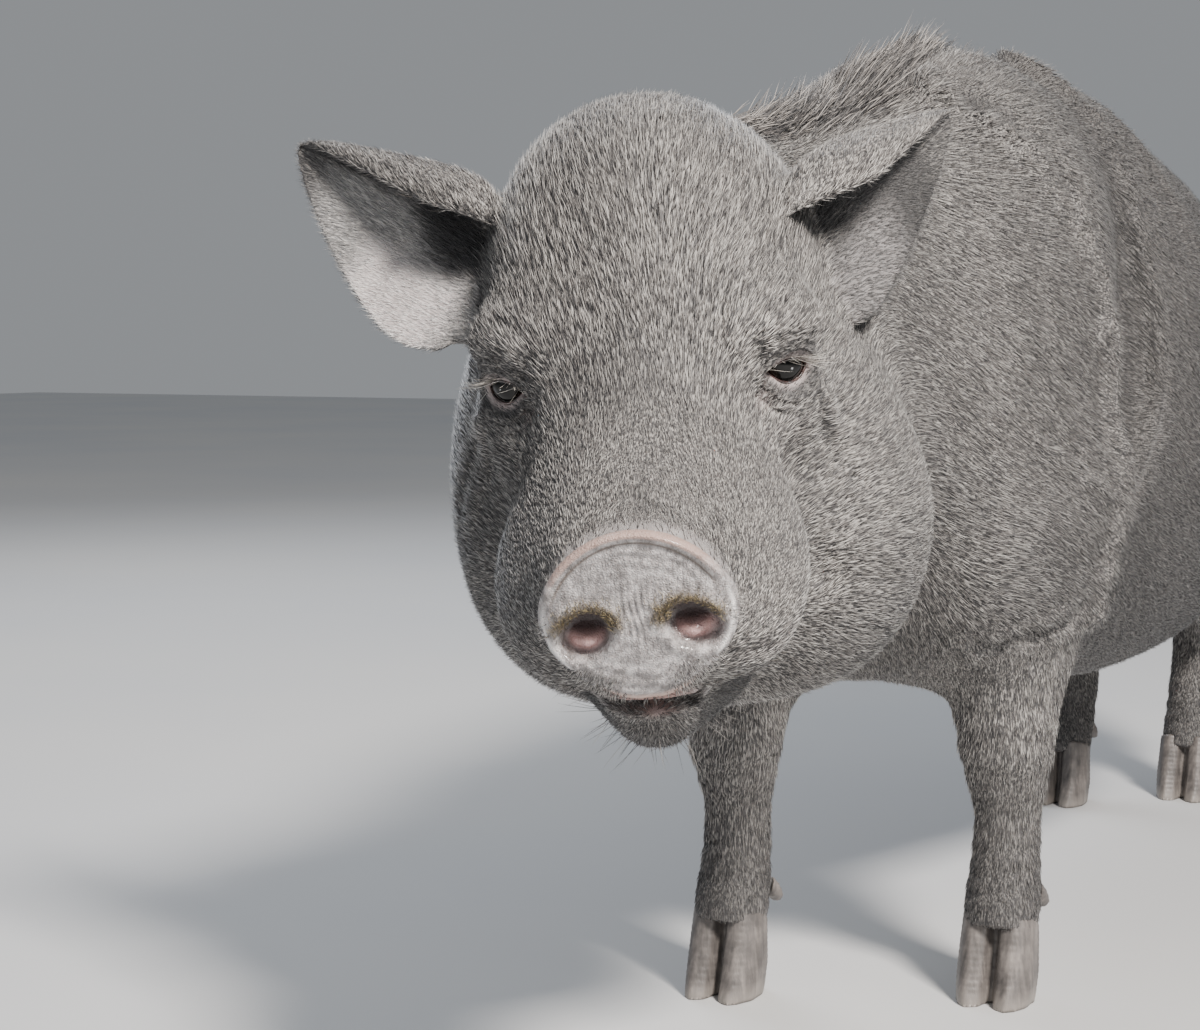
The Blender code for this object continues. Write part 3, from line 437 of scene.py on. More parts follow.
def applied(obj):
    """Turns the modifiers' result into the object's plain mesh."""
    graph = bpy.context.evaluated_depsgraph_get()
    evaluated = obj.evaluated_get(graph)
    mesh = bpy.data.meshes.new_from_object(evaluated, preserve_all_data_layers=True, depsgraph=graph)
    obj.modifiers.clear()
    obj.data = mesh
    return mesh


def modified(obj, kind, **settings):
    """Adds one modifier with its settings and applies it."""
    made = obj.modifiers.new(kind.lower(), kind)
    for name, value in settings.items():
        setattr(made, name, value)
    return applied(obj)


def tube(name, path, radii, sides, closed):
    """A round tube along a path, with one radius for each point."""
    path = np.array(path, float)
    count = len(path)
    rings = []
    turns = [2.0 * math.pi * k / sides for k in range(sides)]
    for i in range(count):
        ahead = path[(i + 1) % count] if closed else path[min(i + 1, count - 1)]
        behind = path[(i - 1) % count] if closed else path[max(i - 1, 0)]
        way = Vector(ahead - behind).normalized()
        across = way.cross(Vector((0.0, 0.0, 1.0))).normalized()
        up = across.cross(way)
        rings.append([Vector(path[i]) + (across * math.cos(t) + up * math.sin(t)) * radii[i] for t in turns])
    return lofted(name, rings, closed)


TAIL_LINE = (  # x, y, z before STAND is added, and radius: the tail under its hair
    (0.0, 0.395, 0.385, 0.0140),
    (0.0, 0.428, 0.372, 0.0115),
    (0.002, 0.446, 0.335, 0.0085),
    (0.004, 0.450, 0.285, 0.0062),
    (0.004, 0.448, 0.238, 0.0042),
)
tail_path = [Vector(point[:3]) + STAND for point in TAIL_LINE]
tail_core = tube("tail_core", tail_path, [point[3] for point in TAIL_LINE], 16, False)
copies = {name: merged_copy(name, SWELL) for name in FLESH}
for name in ("neck", "torso"):
    lay_ridge_bare(copies[name])
skin = joined([*copies.values(), tail_core], "skin")
modified(skin, "REMESH", mode="VOXEL", voxel_size=VOXEL)
print("fine skin", len(skin.data.polygons), "faces")

# %% [markdown]
# ## Ears
# A pig's ear is a thin cupped leaf: the upper rim rolls forward over a deep hollow, and the lower lobe
# opens wide. It is far thinner than the grid, so it is lofted from rows across the leaf, and joined to
# the skin with a Boolean union. Each point of the leaf is noted with its place on it, which later tells
# the coat what grows where.

# %% Loft the ears
EARS = {
    -1: {"root": (-0.068, 0.060, 0.040), "tip": (-0.1400, 1.000, 0.4370), "faces": (0.15, -0.95, -0.20)},
    1: {"root": (0.066, 0.060, 0.040), "tip": (0.1680, 1.040, 0.4550), "faces": (0.42, -0.88, -0.20)},
}
# Across each ear: share of the way to the tip, reach of the lower edge, reach of the rim, depth of the
# hollow, and how far the rim rolls down over it
EAR_ROWS = np.array([
    (-0.16, 0.036, 0.012, 0.006, 0.002),
    (0.00, 0.050, 0.020, 0.017, 0.008),
    (0.12, 0.056, 0.0265, 0.024, 0.0155),
    (0.26, 0.055, 0.0260, 0.025, 0.0180),
    (0.40, 0.049, 0.0225, 0.021, 0.0150),
    (0.54, 0.041, 0.0185, 0.017, 0.0115),
    (0.67, 0.032, 0.0145, 0.013, 0.0080),
    (0.79, 0.0225, 0.0110, 0.010, 0.0050),
    (0.89, 0.0140, 0.0075, 0.006, 0.0025),
    (0.96, 0.0075, 0.0048, 0.003, 0.0010),
    (1.00, 0.0025, 0.0022, 0.001, 0.0003),
])
# From the lower edge over the hollow to the rolled rim: shares of the reach, of the hollow and of the roll
EAR_SECTION = np.array([
    (-1.00, 0.42, 0.0),
    (-0.84, 0.28, 0.0),
    (-0.55, 0.06, 0.0),
    (-0.20, -0.20, 0.0),
    (0.30, -0.36, 0.0),
    (0.80, -0.12, 0.0),
    (1.00, 0.38, 0.0),
    (1.00, 0.78, 0.35),
    (1.00, 0.84, 1.0),
])
EAR_WALL = 0.0030  # the skin alone; the solids' ear holds the coat as well
EAR_SLICES, EAR_STATIONS = 46, 40
LOBE_FOLD = 0.0032  # depth of the crease across the lower lobe


def seen_from_camera(across, away, up):
    """A direction to the camera's right, away from it and up."""
    return (Matrix.Rotation(SEEN_FROM, 3, "Z") @ Vector((across, away, up))).normalized()


def ear_axes(side):
    """The ear's root, its way to the tip, its way up across the leaf, its facing and its length."""
    shape = EARS[side]
    root = HEAD @ Vector(shape["root"])
    across, away, up = shape["tip"]
    turned = Matrix.Rotation(SEEN_FROM, 3, "Z") @ Vector((across - 0.27, away - 1.37, 0.0))
    tip = turned + Vector((0.0, 0.0, up)) + STAND
    along = (tip - root).normalized()
    faces = seen_from_camera(*shape["faces"])
    faces = (faces - along * faces.dot(along)).normalized()
    rise = along.cross(faces) * -side
    return root, along, rise, faces, (tip - root).length


def section_at(place):
    """The shares of reach, hollow and roll at places from 0, the lower edge, to 1, on a smooth curve."""
    last = len(EAR_SECTION) - 1
    position = np.clip(np.asarray(place) * last, 0.0, last - 1e-6)
    i = position.astype(int)
    t = (position - i)[:, None]
    before, start, end, after = (EAR_SECTION[np.clip(i + k, 0, last)] for k in (-1, 0, 1, 2))
    slope, bend = end - before, 2 * before - 5 * start + 4 * end - after
    return start + 0.5 * t * (slope + t * (bend + t * (3 * (start - end) + after - before)))


def ear_ring(side, share, places, face_side):
    """Points across the leaf at one share of its length, on its hollow side, 1, or on its back, -1."""
    root, along, rise, faces, length = (np.array(v) for v in ear_axes(side))
    lower, upper, hollow, roll = (np.interp(share, EAR_ROWS[:, 0], EAR_ROWS[:, k]) for k in (1, 2, 3, 4))
    reach_share, depth, turned = section_at(places).T
    reach = reach_share * np.where(reach_share > 0.0, upper, lower) * 0.97 - roll * turned
    forward = hollow * depth * 0.97
    run = np.gradient(np.stack([reach, forward], axis=1), axis=0)
    out = np.stack([-run[:, 1], run[:, 0]], axis=1)
    out /= np.linalg.norm(out, axis=1)[:, None]
    edge = np.abs(2.0 * places - 1.0)
    wall = EAR_WALL + 0.020 * max(0.0, 0.10 - share) * (1.0 - edge ** 2)
    half = wall * (1.0 - 0.45 * edge ** 3) * min(1.0, 0.35 + 6.0 * (1.0 - share)) / 2 * face_side
    lobe = np.clip((0.40 - places) / 0.40, 0.0, 1.0)
    fold = LOBE_FOLD * np.exp(-(((share - 0.34 - 0.12 * lobe) / 0.040) ** 2)) * 4.0 * lobe * (1.0 - lobe)
    reach, forward = reach + out[:, 0] * half, forward + out[:, 1] * half - fold
    start = root + along * (share * length * 0.985)
    return start + reach[:, None] * rise + forward[:, None] * faces


def ear_leaf(side):
    """The closed leaf, as rings across it, and each point's share, place and side."""
    shares = np.interp(np.linspace(0, 1, EAR_SLICES), [0, 0.8, 1.0], [-0.16, 0.90, 1.0])
    places = 0.5 - 0.5 * np.cos(np.linspace(0, 1, EAR_STATIONS) * math.pi)
    places = 0.6 * places + 0.4 * np.linspace(0, 1, EAR_STATIONS)
    rings, notes = [], []
    for share in shares:
        front = ear_ring(side, share, places, 1.0)
        back = ear_ring(side, share, places, -1.0)[::-1]
        rings.append([*front, *back])
        notes += [(share, place, 1.0) for place in places] + [(share, place, 0.0) for place in places[::-1]]
    return lofted("ear_leaf", rings, triangulated=True), notes


leaf_points, leaf_notes = [], []
for side in (1, -1):
    leaf_mesh, notes = ear_leaf(side)
    leaf = joined([leaf_mesh], "ear_leaf")
    modified(leaf, "SMOOTH", factor=0.5, iterations=2)
    leaf_points += [vertex.co.copy() for vertex in leaf.data.vertices]
    leaf_notes += notes
    before = len(skin.data.polygons)
    modified(skin, "BOOLEAN", operation="UNION", solver="MANIFOLD", object=leaf)
    bpy.data.objects.remove(leaf)
    print("ear joined:", before, "->", len(skin.data.polygons), "faces")

# %% Thin the plain body
leaf_tree = KDTree(len(leaf_points))
for number, point in enumerate(leaf_points):
    leaf_tree.insert(point, number)
leaf_tree.balance()


def on_ears(points):
    """True for the points that the ears' leaves brought to the skin."""
    found = np.zeros(len(points), bool)
    near = [np.linalg.norm(points - np.array(ear_axes(side)[0]), axis=1) < 0.26 for side in (1, -1)]
    for i in np.nonzero(near[0] | near[1])[0]:
        found[i] = leaf_tree.find(points[i])[2] < 0.0004
    return found


def leaf_places(points, chosen):
    """For the chosen points, their share of the ear's length, place across it and side; 0, 0, 0 elsewhere."""
    found = np.zeros((len(points), 3))
    for i in np.nonzero(chosen)[0]:
        found[i] = leaf_notes[leaf_tree.find(points[i])[1]]
    return found.T


def on_head(points):
    """1 on the head, fading to 0 behind the jowls."""
    local = into(points, HEAD)
    return (1.0 - step(local[:, 1], HEAD_BACK - 0.030, HEAD_BACK + 0.010)) * (local[:, 2] > -0.20)


BODY_FOLDS = [  # path on the left side, before STAND is added, depth, width
    ([(0.030, -0.262, 0.468), (0.078, -0.235, 0.420), (0.100, -0.215, 0.370),
      (0.108, -0.212, 0.300), (0.088, -0.225, 0.215)], 0.0120, 0.0058),
    ([(0.035, -0.125, 0.500), (0.085, -0.118, 0.430), (0.116, -0.112, 0.350),
      (0.116, -0.130, 0.285), (0.095, -0.165, 0.222)], 0.0120, 0.0065),
    ([(0.040, -0.050, 0.490), (0.095, -0.030, 0.445), (0.125, -0.020, 0.380),
      (0.135, -0.015, 0.330)], 0.0035, 0.0060),
    ([(0.110, 0.180, 0.400), (0.135, 0.190, 0.340), (0.135, 0.205, 0.270),
      (0.110, 0.190, 0.190)], 0.0040, 0.0100),
    ([(0.098, -0.190, 0.230), (0.104, -0.150, 0.215), (0.098, -0.110, 0.190)], 0.0045, 0.0046),
    ([(0.088, -0.280, 0.300), (0.104, -0.248, 0.280), (0.108, -0.225, 0.268)], 0.0026, 0.0034),
    ([(0.088, -0.228, 0.212), (0.078, -0.262, 0.206), (0.060, -0.285, 0.202)], 0.0045, 0.0036),
    ([(0.070, -0.080, 0.470), (0.100, -0.070, 0.400), (0.120, -0.060, 0.340)], 0.0022, 0.0050),
    ([(0.124, 0.020, 0.360), (0.138, 0.040, 0.300), (0.140, 0.060, 0.230)], 0.0016, 0.0070),
]
DEEPEST_FOLD = 0.0120
FOLD_SIDES = ((1, 1.0, 1.0), (-1, 0.45, 1.7))  # side, share of the depth, share of the width
NEAR_FOLD = 0.016  # within this distance of a fold of the body the faces stay fine
BODY_FACES = 46000  # triangles left for all that is plain


def mirrored_path(path, side):
    """The path on the left side, or its mirror image for side -1."""
    return [(x * side, y, z) for x, y, z in path]


def placed_fold(path, side):
    """A fold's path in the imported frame."""
    return [np.array(place) + STAND for place in mirrored_path(path, side)]


points = points_of(skin.data)
keeps_fine = (on_head(points) > 0.02) | on_ears(points)
for path, _, _ in BODY_FOLDS:
    for side in (1, -1):
        keeps_fine |= from_path(points, placed_fold(path, side))[0] < NEAR_FOLD
group = skin.vertex_groups.new(name="plain")
group.add([int(i) for i in np.nonzero(~keeps_fine)[0]], 1.0, "REPLACE")
polygons = skin.data.polygons
fine_faces = sum(len(p.vertices) - 2 for p in polygons if keeps_fine[p.vertices[0]])
kept = (fine_faces + BODY_FACES) / triangles(skin.data)
modified(skin, "DECIMATE", ratio=kept, vertex_group="plain", vertex_group_factor=1.0)
skin.vertex_groups.clear()
print("thinned skin", len(skin.data.polygons), "faces, of which the head has about", fine_faces)

# %% [markdown]
# ## Relax the facets
# The solids are facetted, so the skin is relaxed: every point moves towards the middle of its neighbours,
# many times on the body, where the facets are wide, and few times on the head and ears, where that would
# melt the form. Round the eyes and the mouth each edge is then split, to give the lids and lips enough
# points.

# %% Relax, then split edges near the eyes and the mouth
MOUTH_LINE = [  # one side, from the middle of the lip to the corner of the mouth, in the head's frame
    (0.0, -0.146, -0.062),
    (0.012, -0.145, -0.063),
    (0.027, -0.138, -0.067),
    (0.041, -0.124, -0.071),
    (0.053, -0.104, -0.073),
    (0.061, -0.080, -0.074),
    (0.066, -0.056, -0.071),
]
MOUTH = [(-x, y, z) for x, y, z in reversed(MOUTH_LINE[1:])] + MOUTH_LINE


def relaxed(points, edges, amount, rounds):
    """Moves each point towards the middle of its neighbours by its own amount."""
    count = len(points)
    share = (np.asarray(amount) / np.maximum(np.bincount(edges.ravel(), minlength=count), 1))[:, None]
    keep = 1.0 - np.asarray(amount)[:, None]
    for _ in range(rounds):
        total = np.empty_like(points)
        for axis in range(3):
            ahead = np.bincount(edges[:, 0], points[edges[:, 1], axis], count)
            total[:, axis] = ahead + np.bincount(edges[:, 1], points[edges[:, 0], axis], count)
        points = points * keep + total * share
    return points


def curve_through(path, steps=8):
    """A smooth curve of many points through the path's few."""
    path = np.array(path, float)
    ends = np.concatenate([[2 * path[0] - path[1]], path, [2 * path[-1] - path[-2]]])
    t = np.linspace(0.0, 1.0, steps, endpoint=False)[:, None]
    drawn = []
    for before, start, end, after in zip(ends, ends[1:], ends[2:], ends[3:]):
        slope, bend = end - before, 2 * before - 5 * start + 4 * end - after
        drawn.append(start + 0.5 * t * (slope + t * (bend + t * (3 * (start - end) + after - before))))
    return np.concatenate([*drawn, path[-1:]])


def laid(path, surface):
    """The path drawn through many points, each moved to the nearest point of the surface."""
    drawn = curve_through(path)
    nearest = [surface[np.argmin(((surface - place) ** 2).sum(axis=1))] for place in drawn]
    softened = np.array(nearest)
    softened[1:-1] = (softened[:-2] + softened[1:-1] + softened[2:]) / 3
    return softened


def splits(obj, chosen):
    """Splits every edge between two chosen points in half."""
    bm = bmesh.new()
    bm.from_mesh(obj.data)
    bm.verts.ensure_lookup_table()
    edges = [e for e in bm.edges if chosen[e.verts[0].index] and chosen[e.verts[1].index]]
    bmesh.ops.subdivide_edges(bm, edges=edges, cuts=1, use_grid_fill=True)
    bmesh.ops.triangulate(bm, faces=[f for f in bm.faces if len(f.verts) > 4])
    bm.to_mesh(obj.data)
    bm.free()


def eye_distance(points):
    """The distance from the nearer eye's centre."""
    centres = [np.array(eye_frame(side).translation) for side in (1, -1)]
    return np.minimum(*[np.linalg.norm(points - centre, axis=1) for centre in centres])


def spread_out(values, edges, rounds):
    """Lets values leak to their neighbours, so that a hard border turns soft."""
    return relaxed(np.repeat(values[:, None], 3, axis=1), edges, np.full(len(values), 0.5), rounds)[:, 0]


def crest_weight(points, reach=0.028):
    """1 on the ridge of the neck and withers, where the mane grows, fading to 0 beside it."""
    beside, y = ridge_place(points)
    ends = step(y, CREST_LINE[0][1] - 0.030, CREST_LINE[0][1] + 0.02) * (1.0 - step(y, -0.060, 0.010))
    return (1.0 - step(np.abs(beside), 0.3 * reach, reach)) * ends * step(points[:, 2], 0.40, 0.43)


points, edges = points_of(skin.data), edges_of(skin.data)
is_ear = on_ears(points)
ear_weight = spread_out(is_ear.astype(float), edges, 3)
head_here = on_head(points)
disc_local = into(points, DISC)
near_disc = (np.hypot(disc_local[:, 0] / 0.046, disc_local[:, 2] / 0.041) < 1.0) & (disc_local[:, 1] < 0.016)
near_hoof = 1.0 - step(points[:, 2], 0.044, 0.060)
amount = 0.5 * (1.0 - near_hoof) * np.where(near_disc, 0.3, 1.0)


def relaxed_skin(points, amount, rounds):
    """The skin's points relaxed everywhere but on the ears."""
    return relaxed(points, edges, np.where(is_ear, 0.0, amount), rounds)


points = relaxed_skin(points, amount, 6)
nape = step(into(points, HEAD)[:, 1], 0.040, 0.075) * head_here
points = relaxed_skin(points, 0.5 * nape, 36)
points = relaxed_skin(points, amount * (1.0 - head_here), 8)
points = relaxed_skin(points, 0.5 * crest_weight(points, 0.05), 16)
joint = spread_out(is_ear.astype(float), edges, 8)
points = relaxed(points, edges, 2.0 * joint * (1.0 - joint), 10)
put_points(skin.data, points)
store(skin.data, "ear", ear_weight)

AROUND_EYE, LID_REACH, LIP_REACH = 0.029, 0.0175, 0.009  # edges within these are split, once or twice
splits(skin, eye_distance(points_of(skin.data)) < AROUND_EYE)
points = points_of(skin.data)
lip_distance = from_path(into(points, HEAD), laid(MOUTH, into(points, HEAD)))[0]
splits(skin, (eye_distance(points) < LID_REACH) | (lip_distance < LIP_REACH))
print("split skin", triangles(skin.data), "triangles")

# %% [markdown]
# ## Room for the coat
# The solids' surface is where the tips of the bristles end. The skin lies under it by the coat's depth,
# which is the height the bristles reach: least on the muzzle, lids and feet, and most on the neck and
# back.

# %% Sink the skin by the coat's depth
ELBOW_HEIGHT = 0.215


def read(name):
    """One of the skin's maps as an array."""
    return values_of(skin.data.attributes[name].data, "value")


def leg_weight(points):
    """1 on the legs, fading to 0 above the elbow and the stifle."""
    near = np.zeros(len(points))
    for foot in FEET:
        apart = np.hypot(points[:, 0] - foot.x, points[:, 1] - foot.y - 0.015)
        near = np.maximum(near, 1.0 - step(apart, 0.055, 0.080))
    return near * (1.0 - step(points[:, 2], ELBOW_HEIGHT - 0.055, ELBOW_HEIGHT + 0.010))


def coat_depth(points):
    """How far the tips of the coat stand above the skin, in metres."""
    local = into(points, HEAD)
    head_here, legs = on_head(points), leg_weight(points)
    muzzle = 1.0 - step(local[:, 1], -0.100, 0.010)
    depth = 0.0034 * (1.0 - legs) + 0.0016 * legs
    depth = depth * (1.0 - head_here) + (0.0028 * (1.0 - muzzle) + 0.0009 * muzzle) * head_here
    depth = np.minimum(depth, 0.0004 + 0.0024 * step(eye_distance(points), 0.012, 0.034))
    depth = np.minimum(depth, 0.0006 + 0.0020 * step(points[:, 2], 0.040, 0.090))
    depth = np.minimum(depth, 0.0002 + 0.0030 * step(0.415 + STAND.y - points[:, 1], 0.0, 0.030))
    depth = depth + 0.0015 * crest_weight(points)
    return depth * (1.0 - read("ear"))


points = points_of(skin.data)
points -= normals_of(skin.data) * coat_depth(points)[:, None]
for foot in FEET:  # the hide narrows where it meets the horn
    axis = np.array((foot.x, foot.y))
    mine = np.linalg.norm(points[:, :2] - axis, axis=1) < 0.05
    squeeze = 0.09 * (1.0 - step(points[:, 2], 0.036, 0.062)) * mine
    points[:, :2] += (axis - points[:, :2]) * squeeze[:, None]
put_points(skin.data, points)
print("coat depth up to", round(float(coat_depth(points).max()) * 1000, 1), "mm")

# %% [markdown]
# ## Lids
# Small heavy-lidded eyes give this face its look. Round each eye the skin's points are pulled on to a
# ball a little larger than the eyeball, in to the edge of the almond between the lids, and tucked behind
# the eyeball inside it. Ring-like creases then fold the upper lid and the pouch below.

# %% Shape the lids
PAST_LIDS = [-0.003, -0.0006, 0.0001, 0.0010, 0.0035, 0.0080]  # distance outside the edge of the lids, and
LID_RISE = [-0.0030, -0.0008, 0.0003, 0.0019, 0.0034, 0.0075]  # how high the skin lies over the eyeball there


def almond(x, y):
    """How far out a place is from the middle of the opening: 1 on the edge of the lids."""
    angle = np.arctan2(y / OPENING[1], x / OPENING[0])
    edge = np.hypot(np.cos(angle), np.sin(angle) * (1.0 - 0.40 * np.cos(angle) ** 2))
    return np.hypot(x / OPENING[0], y / OPENING[1]) / edge, angle


def past_lids(radial, out):
    """How far outside the edge of the lids a place lies; negative between them."""
    return np.where(out < 0.3, -0.005, radial * (1.0 - 1.0 / np.maximum(out, 0.3)))


def lidded(points, side):
    """The points round one eye, pulled on to the lids."""
    local = into(points, eye_frame(side))
    x, y, z = local.T
    out, angle = almond(x, y)
    radial = np.hypot(x, y)
    past = past_lids(radial, out)
    shell = EYE_RADIUS + np.interp(past, PAST_LIDS, LID_RISE)
    ball = np.sqrt(np.maximum(shell ** 2 - radial ** 2, 0.0))
    pull = (1.0 - step(past, 0.0012, 0.0075)) * (z > 0.0)
    upper = step(np.sin(angle), -0.1, 0.5)
    crease = 0.0013 * bell(past - 0.0040, 0.0009) * (0.3 + 0.7 * upper)
    crease += 0.0009 * bell(past - 0.0078, 0.0011) * (1.0 - 0.5 * upper)
    crease += 0.0007 * bell(past - 0.0118, 0.0014)
    swell = 0.0009 * bell(past - 0.0058, 0.0012) + 0.0006 * bell(past - 0.0098, 0.0013)
    depth = z * (1.0 - pull) + ball * pull + (swell - crease) * (z > 0.0) * (radial < 0.034)
    return out_of(np.stack([x, y, depth], axis=1), eye_frame(side))


points = points_of(skin.data)
for side in (1, -1):
    near = np.linalg.norm(points - np.array(eye_frame(side).translation), axis=1) < 0.036
    points[near] = lidded(points[near], side)
put_points(skin.data, points)

# %% [markdown]
# ## Mouth, folds and creases
# A crease is a path over the skin: points near it sink by a depth that fades over its width, and the skin
# swells a little beside it. The line of the mouth, the fold of the cheek, the fold behind the shoulder
# and the rings round elbow, knee and pastern are all made this way, from a few points each. Slow waves
# over the whole hide keep it from looking machined.

# %% Press the folds into the skin
def sunk(points, normals, distance, depth, width, swell=0.35):
    """Points pressed in along their normals near a path, with a soft swelling beside it."""
    trough = bell(distance, width)
    bank = bell(distance - 2.1 * width, 0.9 * width)
    return points - normals * (depth * trough - swell * depth * bank)[:, None]


def in_front(points, path):
    """1 on the side of an upright path towards the head, 0 behind it."""
    places = np.array(sorted(path, key=lambda place: place[2]))
    return step(np.interp(points[:, 2], places[:, 2], places[:, 1]) - points[:, 1], -0.002, 0.004)


HEAD_FOLDS = [  # path on the left side of the head's frame, depth, width
    ([(0.062, -0.060, -0.060), (0.071, -0.046, -0.045), (0.074, -0.040, -0.020)], 0.0014, 0.0070),
    ([(0.066, -0.054, -0.071), (0.078, -0.040, -0.078), (0.086, -0.020, -0.090)], 0.0016, 0.0070),
    ([(0.0441, -0.0160, 0.0065), (0.0396, -0.0290, -0.0025), (0.0366, -0.0440, -0.0145)], 0.0020, 0.0024),
    ([(0.0496, -0.0200, -0.0025), (0.0516, -0.0320, -0.0145), (0.0526, -0.0440, -0.0305)], 0.0014, 0.0030),
    ([(0.0656, -0.0100, -0.0105), (0.0736, -0.0100, -0.0305), (0.0796, -0.0080, -0.0565)], 0.0013, 0.0040),
    ([(0.0736, 0.0000, -0.0025), (0.0836, 0.0040, -0.0265), (0.0916, 0.0060, -0.0565)], 0.0012, 0.0042),
    ([(0.0716, 0.0060, 0.0075), (0.0816, 0.0200, 0.0015), (0.0896, 0.0360, -0.0025)], 0.0014, 0.0034),
    ([(0.0696, 0.0040, 0.0155), (0.0796, 0.0180, 0.0135), (0.0876, 0.0340, 0.0115)], 0.0010, 0.0026),
    ([(0.0396, -0.0140, 0.0215), (0.0456, -0.0120, 0.0300), (0.0576, -0.0060, 0.0325)], 0.0012, 0.0030),
    ([(0.000, -0.122, 0.022), (0.018, -0.124, 0.019), (0.030, -0.128, 0.010)], 0.0012, 0.0024),
    ([(0.000, -0.112, 0.023), (0.016, -0.114, 0.021)], 0.0008, 0.0022),
    ([(0.030, -0.140, -0.040), (0.040, -0.128, -0.046), (0.050, -0.108, -0.050)], 0.0012, 0.0040),
]
points = points_of(skin.data)
normals = normals_of(skin.data)
local = into(points, HEAD)
lip_distance, _ = from_path(local, laid(MOUTH, local))
points = sunk(points, normals, lip_distance, 0.0060, 0.0019, 0.26)
for path, depth, width in HEAD_FOLDS:
    for side in (1, -1):
        distance, _ = from_path(local, laid(mirrored_path(path, side), local))
        points = sunk(points, normals, distance, depth, width)
for path, depth, width in BODY_FOLDS:
    for side, share, spread in FOLD_SIDES:
        fold = placed_fold(path, side)
        distance, _ = from_path(points, laid(fold, points))
        points = sunk(points, normals, distance, depth * share, width * spread, 0.8 * in_front(points, fold))

LEG_RINGS = [  # height, rise towards the back, depth, width
    (0.208, 0.30, 0.0026, 0.0045),
    (0.190, 0.20, 0.0010, 0.0050),
    (0.152, -0.15, 0.0007, 0.0040),
    (0.138, -0.10, 0.0009, 0.0040),
    (0.122, 0.10, 0.0008, 0.0040),
    (0.076, -0.20, 0.0009, 0.0030),
    (0.066, -0.25, 0.0011, 0.0028),
    (0.056, -0.30, 0.0011, 0.0028),
]
for number, foot in enumerate(FEET):
    apart = np.hypot(points[:, 0] - foot.x, points[:, 1] - foot.y - 0.010)
    for height, rise, depth, width in LEG_RINGS:
        wave = 0.003 * np.sin(points[:, 0] * 95.0 + number * 1.7 + height * 60.0)
        distance = abs(points[:, 2] - height - wave - rise * (points[:, 1] - foot.y))
        near = 1.0 - step(apart, 0.045, 0.062)
        points = sunk(points, normals, distance, depth * near, width)

LOW_WAVES = ((31.0, 47.0, 22.0), (-38.0, 19.0, 53.0), 1.3, 0.0011)  # two ways, phase, height in metres
FINE_WAVES = ((140.0, 60.0, -95.0), (-70.0, 150.0, 85.0), 0.6, 0.0004)
waves = np.zeros(len(points))
for first_way, second_way, phase, height in (LOW_WAVES, FINE_WAVES):
    first, second = points @ np.array(first_way), points @ np.array(second_way)
    waves += height * (np.sin(first) * np.sin(second + phase))
calm = 1.0 - 0.75 * on_head(points)
calm = calm * (1.0 - leg_weight(points) * 0.6) * step(points[:, 2], 0.045, 0.12)
calm *= 1.0 - 0.9 * read("ear")
points -= normals * (waves * calm + 0.0011 * calm)[:, None]

# %% Seat for the snout disc
# Inside the disc's outline the skin is pushed back, so that the finer disc lies over a hollow.
DISC_HALF_WIDTH, DISC_HALF_HEIGHT = 0.0380, 0.0325
SEAT_DEPTH = 0.0135
SEAT_SHARE, RIM_SHARE = 0.90, 1.08  # of the disc's outline: the seat ends, and the skin round it begins


def disc_outline(angle, size):
    """A point of the disc's outline: broad at the nostrils, narrower above, drawn down to the lip below."""
    rise = np.sin(angle)
    wide = DISC_HALF_WIDTH * (1.0 - 0.10 * np.maximum(0.0, rise) - 0.10 * np.maximum(0.0, -rise) ** 2)
    high = DISC_HALF_HEIGHT * (1.0 + 0.08 * np.maximum(0.0, -rise))
    return wide * np.cos(angle) * size, high * rise * size


def disc_share(x, z):
    """How far out a place is on the disc: 1 on its outline."""
    angle = np.arctan2(z / DISC_HALF_HEIGHT, x / DISC_HALF_WIDTH)
    edge_x, edge_z = disc_outline(angle, 1.0)
    return np.hypot(x, z) / np.hypot(edge_x, edge_z), angle


local = into(points, DISC)
share, _ = disc_share(local[:, 0], local[:, 2])
depth = local[:, 1]
depth = np.where((depth < SEAT_DEPTH) & (share < SEAT_SHARE), SEAT_DEPTH, depth)
at_rim = (share >= SEAT_SHARE) & (share < RIM_SHARE)
local[:, 1] = np.where(at_rim, np.maximum(depth, 0.0035 + 0.10 * np.maximum(0.0, 0.99 - share)), depth)
points = out_of(local, DISC)
put_points(skin.data, points)
skin.data.validate()
skin.data.shade_smooth()
print("skin shaped:", triangles(skin.data), "triangles")

# %% [markdown]
# ## Eyeballs
# A pig's eye is dark brown with a broad round pupil, and the lids hide nearly all of its white. The ball
# is turned on a lathe, with the cornea bulging at the front. Each point stores how squarely it faces
# forward, and the material reads pupil, iris and white from that.

# %% Turn the eyes
def lathe(name, profile, steps, matrix):
    """A closed form turned about Z from (height, radius) pairs, moved by the matrix."""
    turns = [2.0 * math.pi * i / steps for i in range(steps)]
    circle = [(math.cos(turn), math.sin(turn)) for turn in turns]
    mesh = lofted(name, [[(radius * x, radius * y, height) for x, y in circle] for height, radius in profile])
    mesh.transform(matrix)
    return mesh


def placed_piece(name, mesh, material, slot, *nodes):
    """A finished piece, kept inside the solids' box, that rides on the body in place of the named nodes."""
    put_points(mesh, np.clip(points_of(mesh), *np.array(cad_box)))
    obj = linked(name, mesh)
    mesh.materials.clear()
    mesh.materials.append(material)
    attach(obj, "root")
    if nodes:
        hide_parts(*nodes)
    return obj


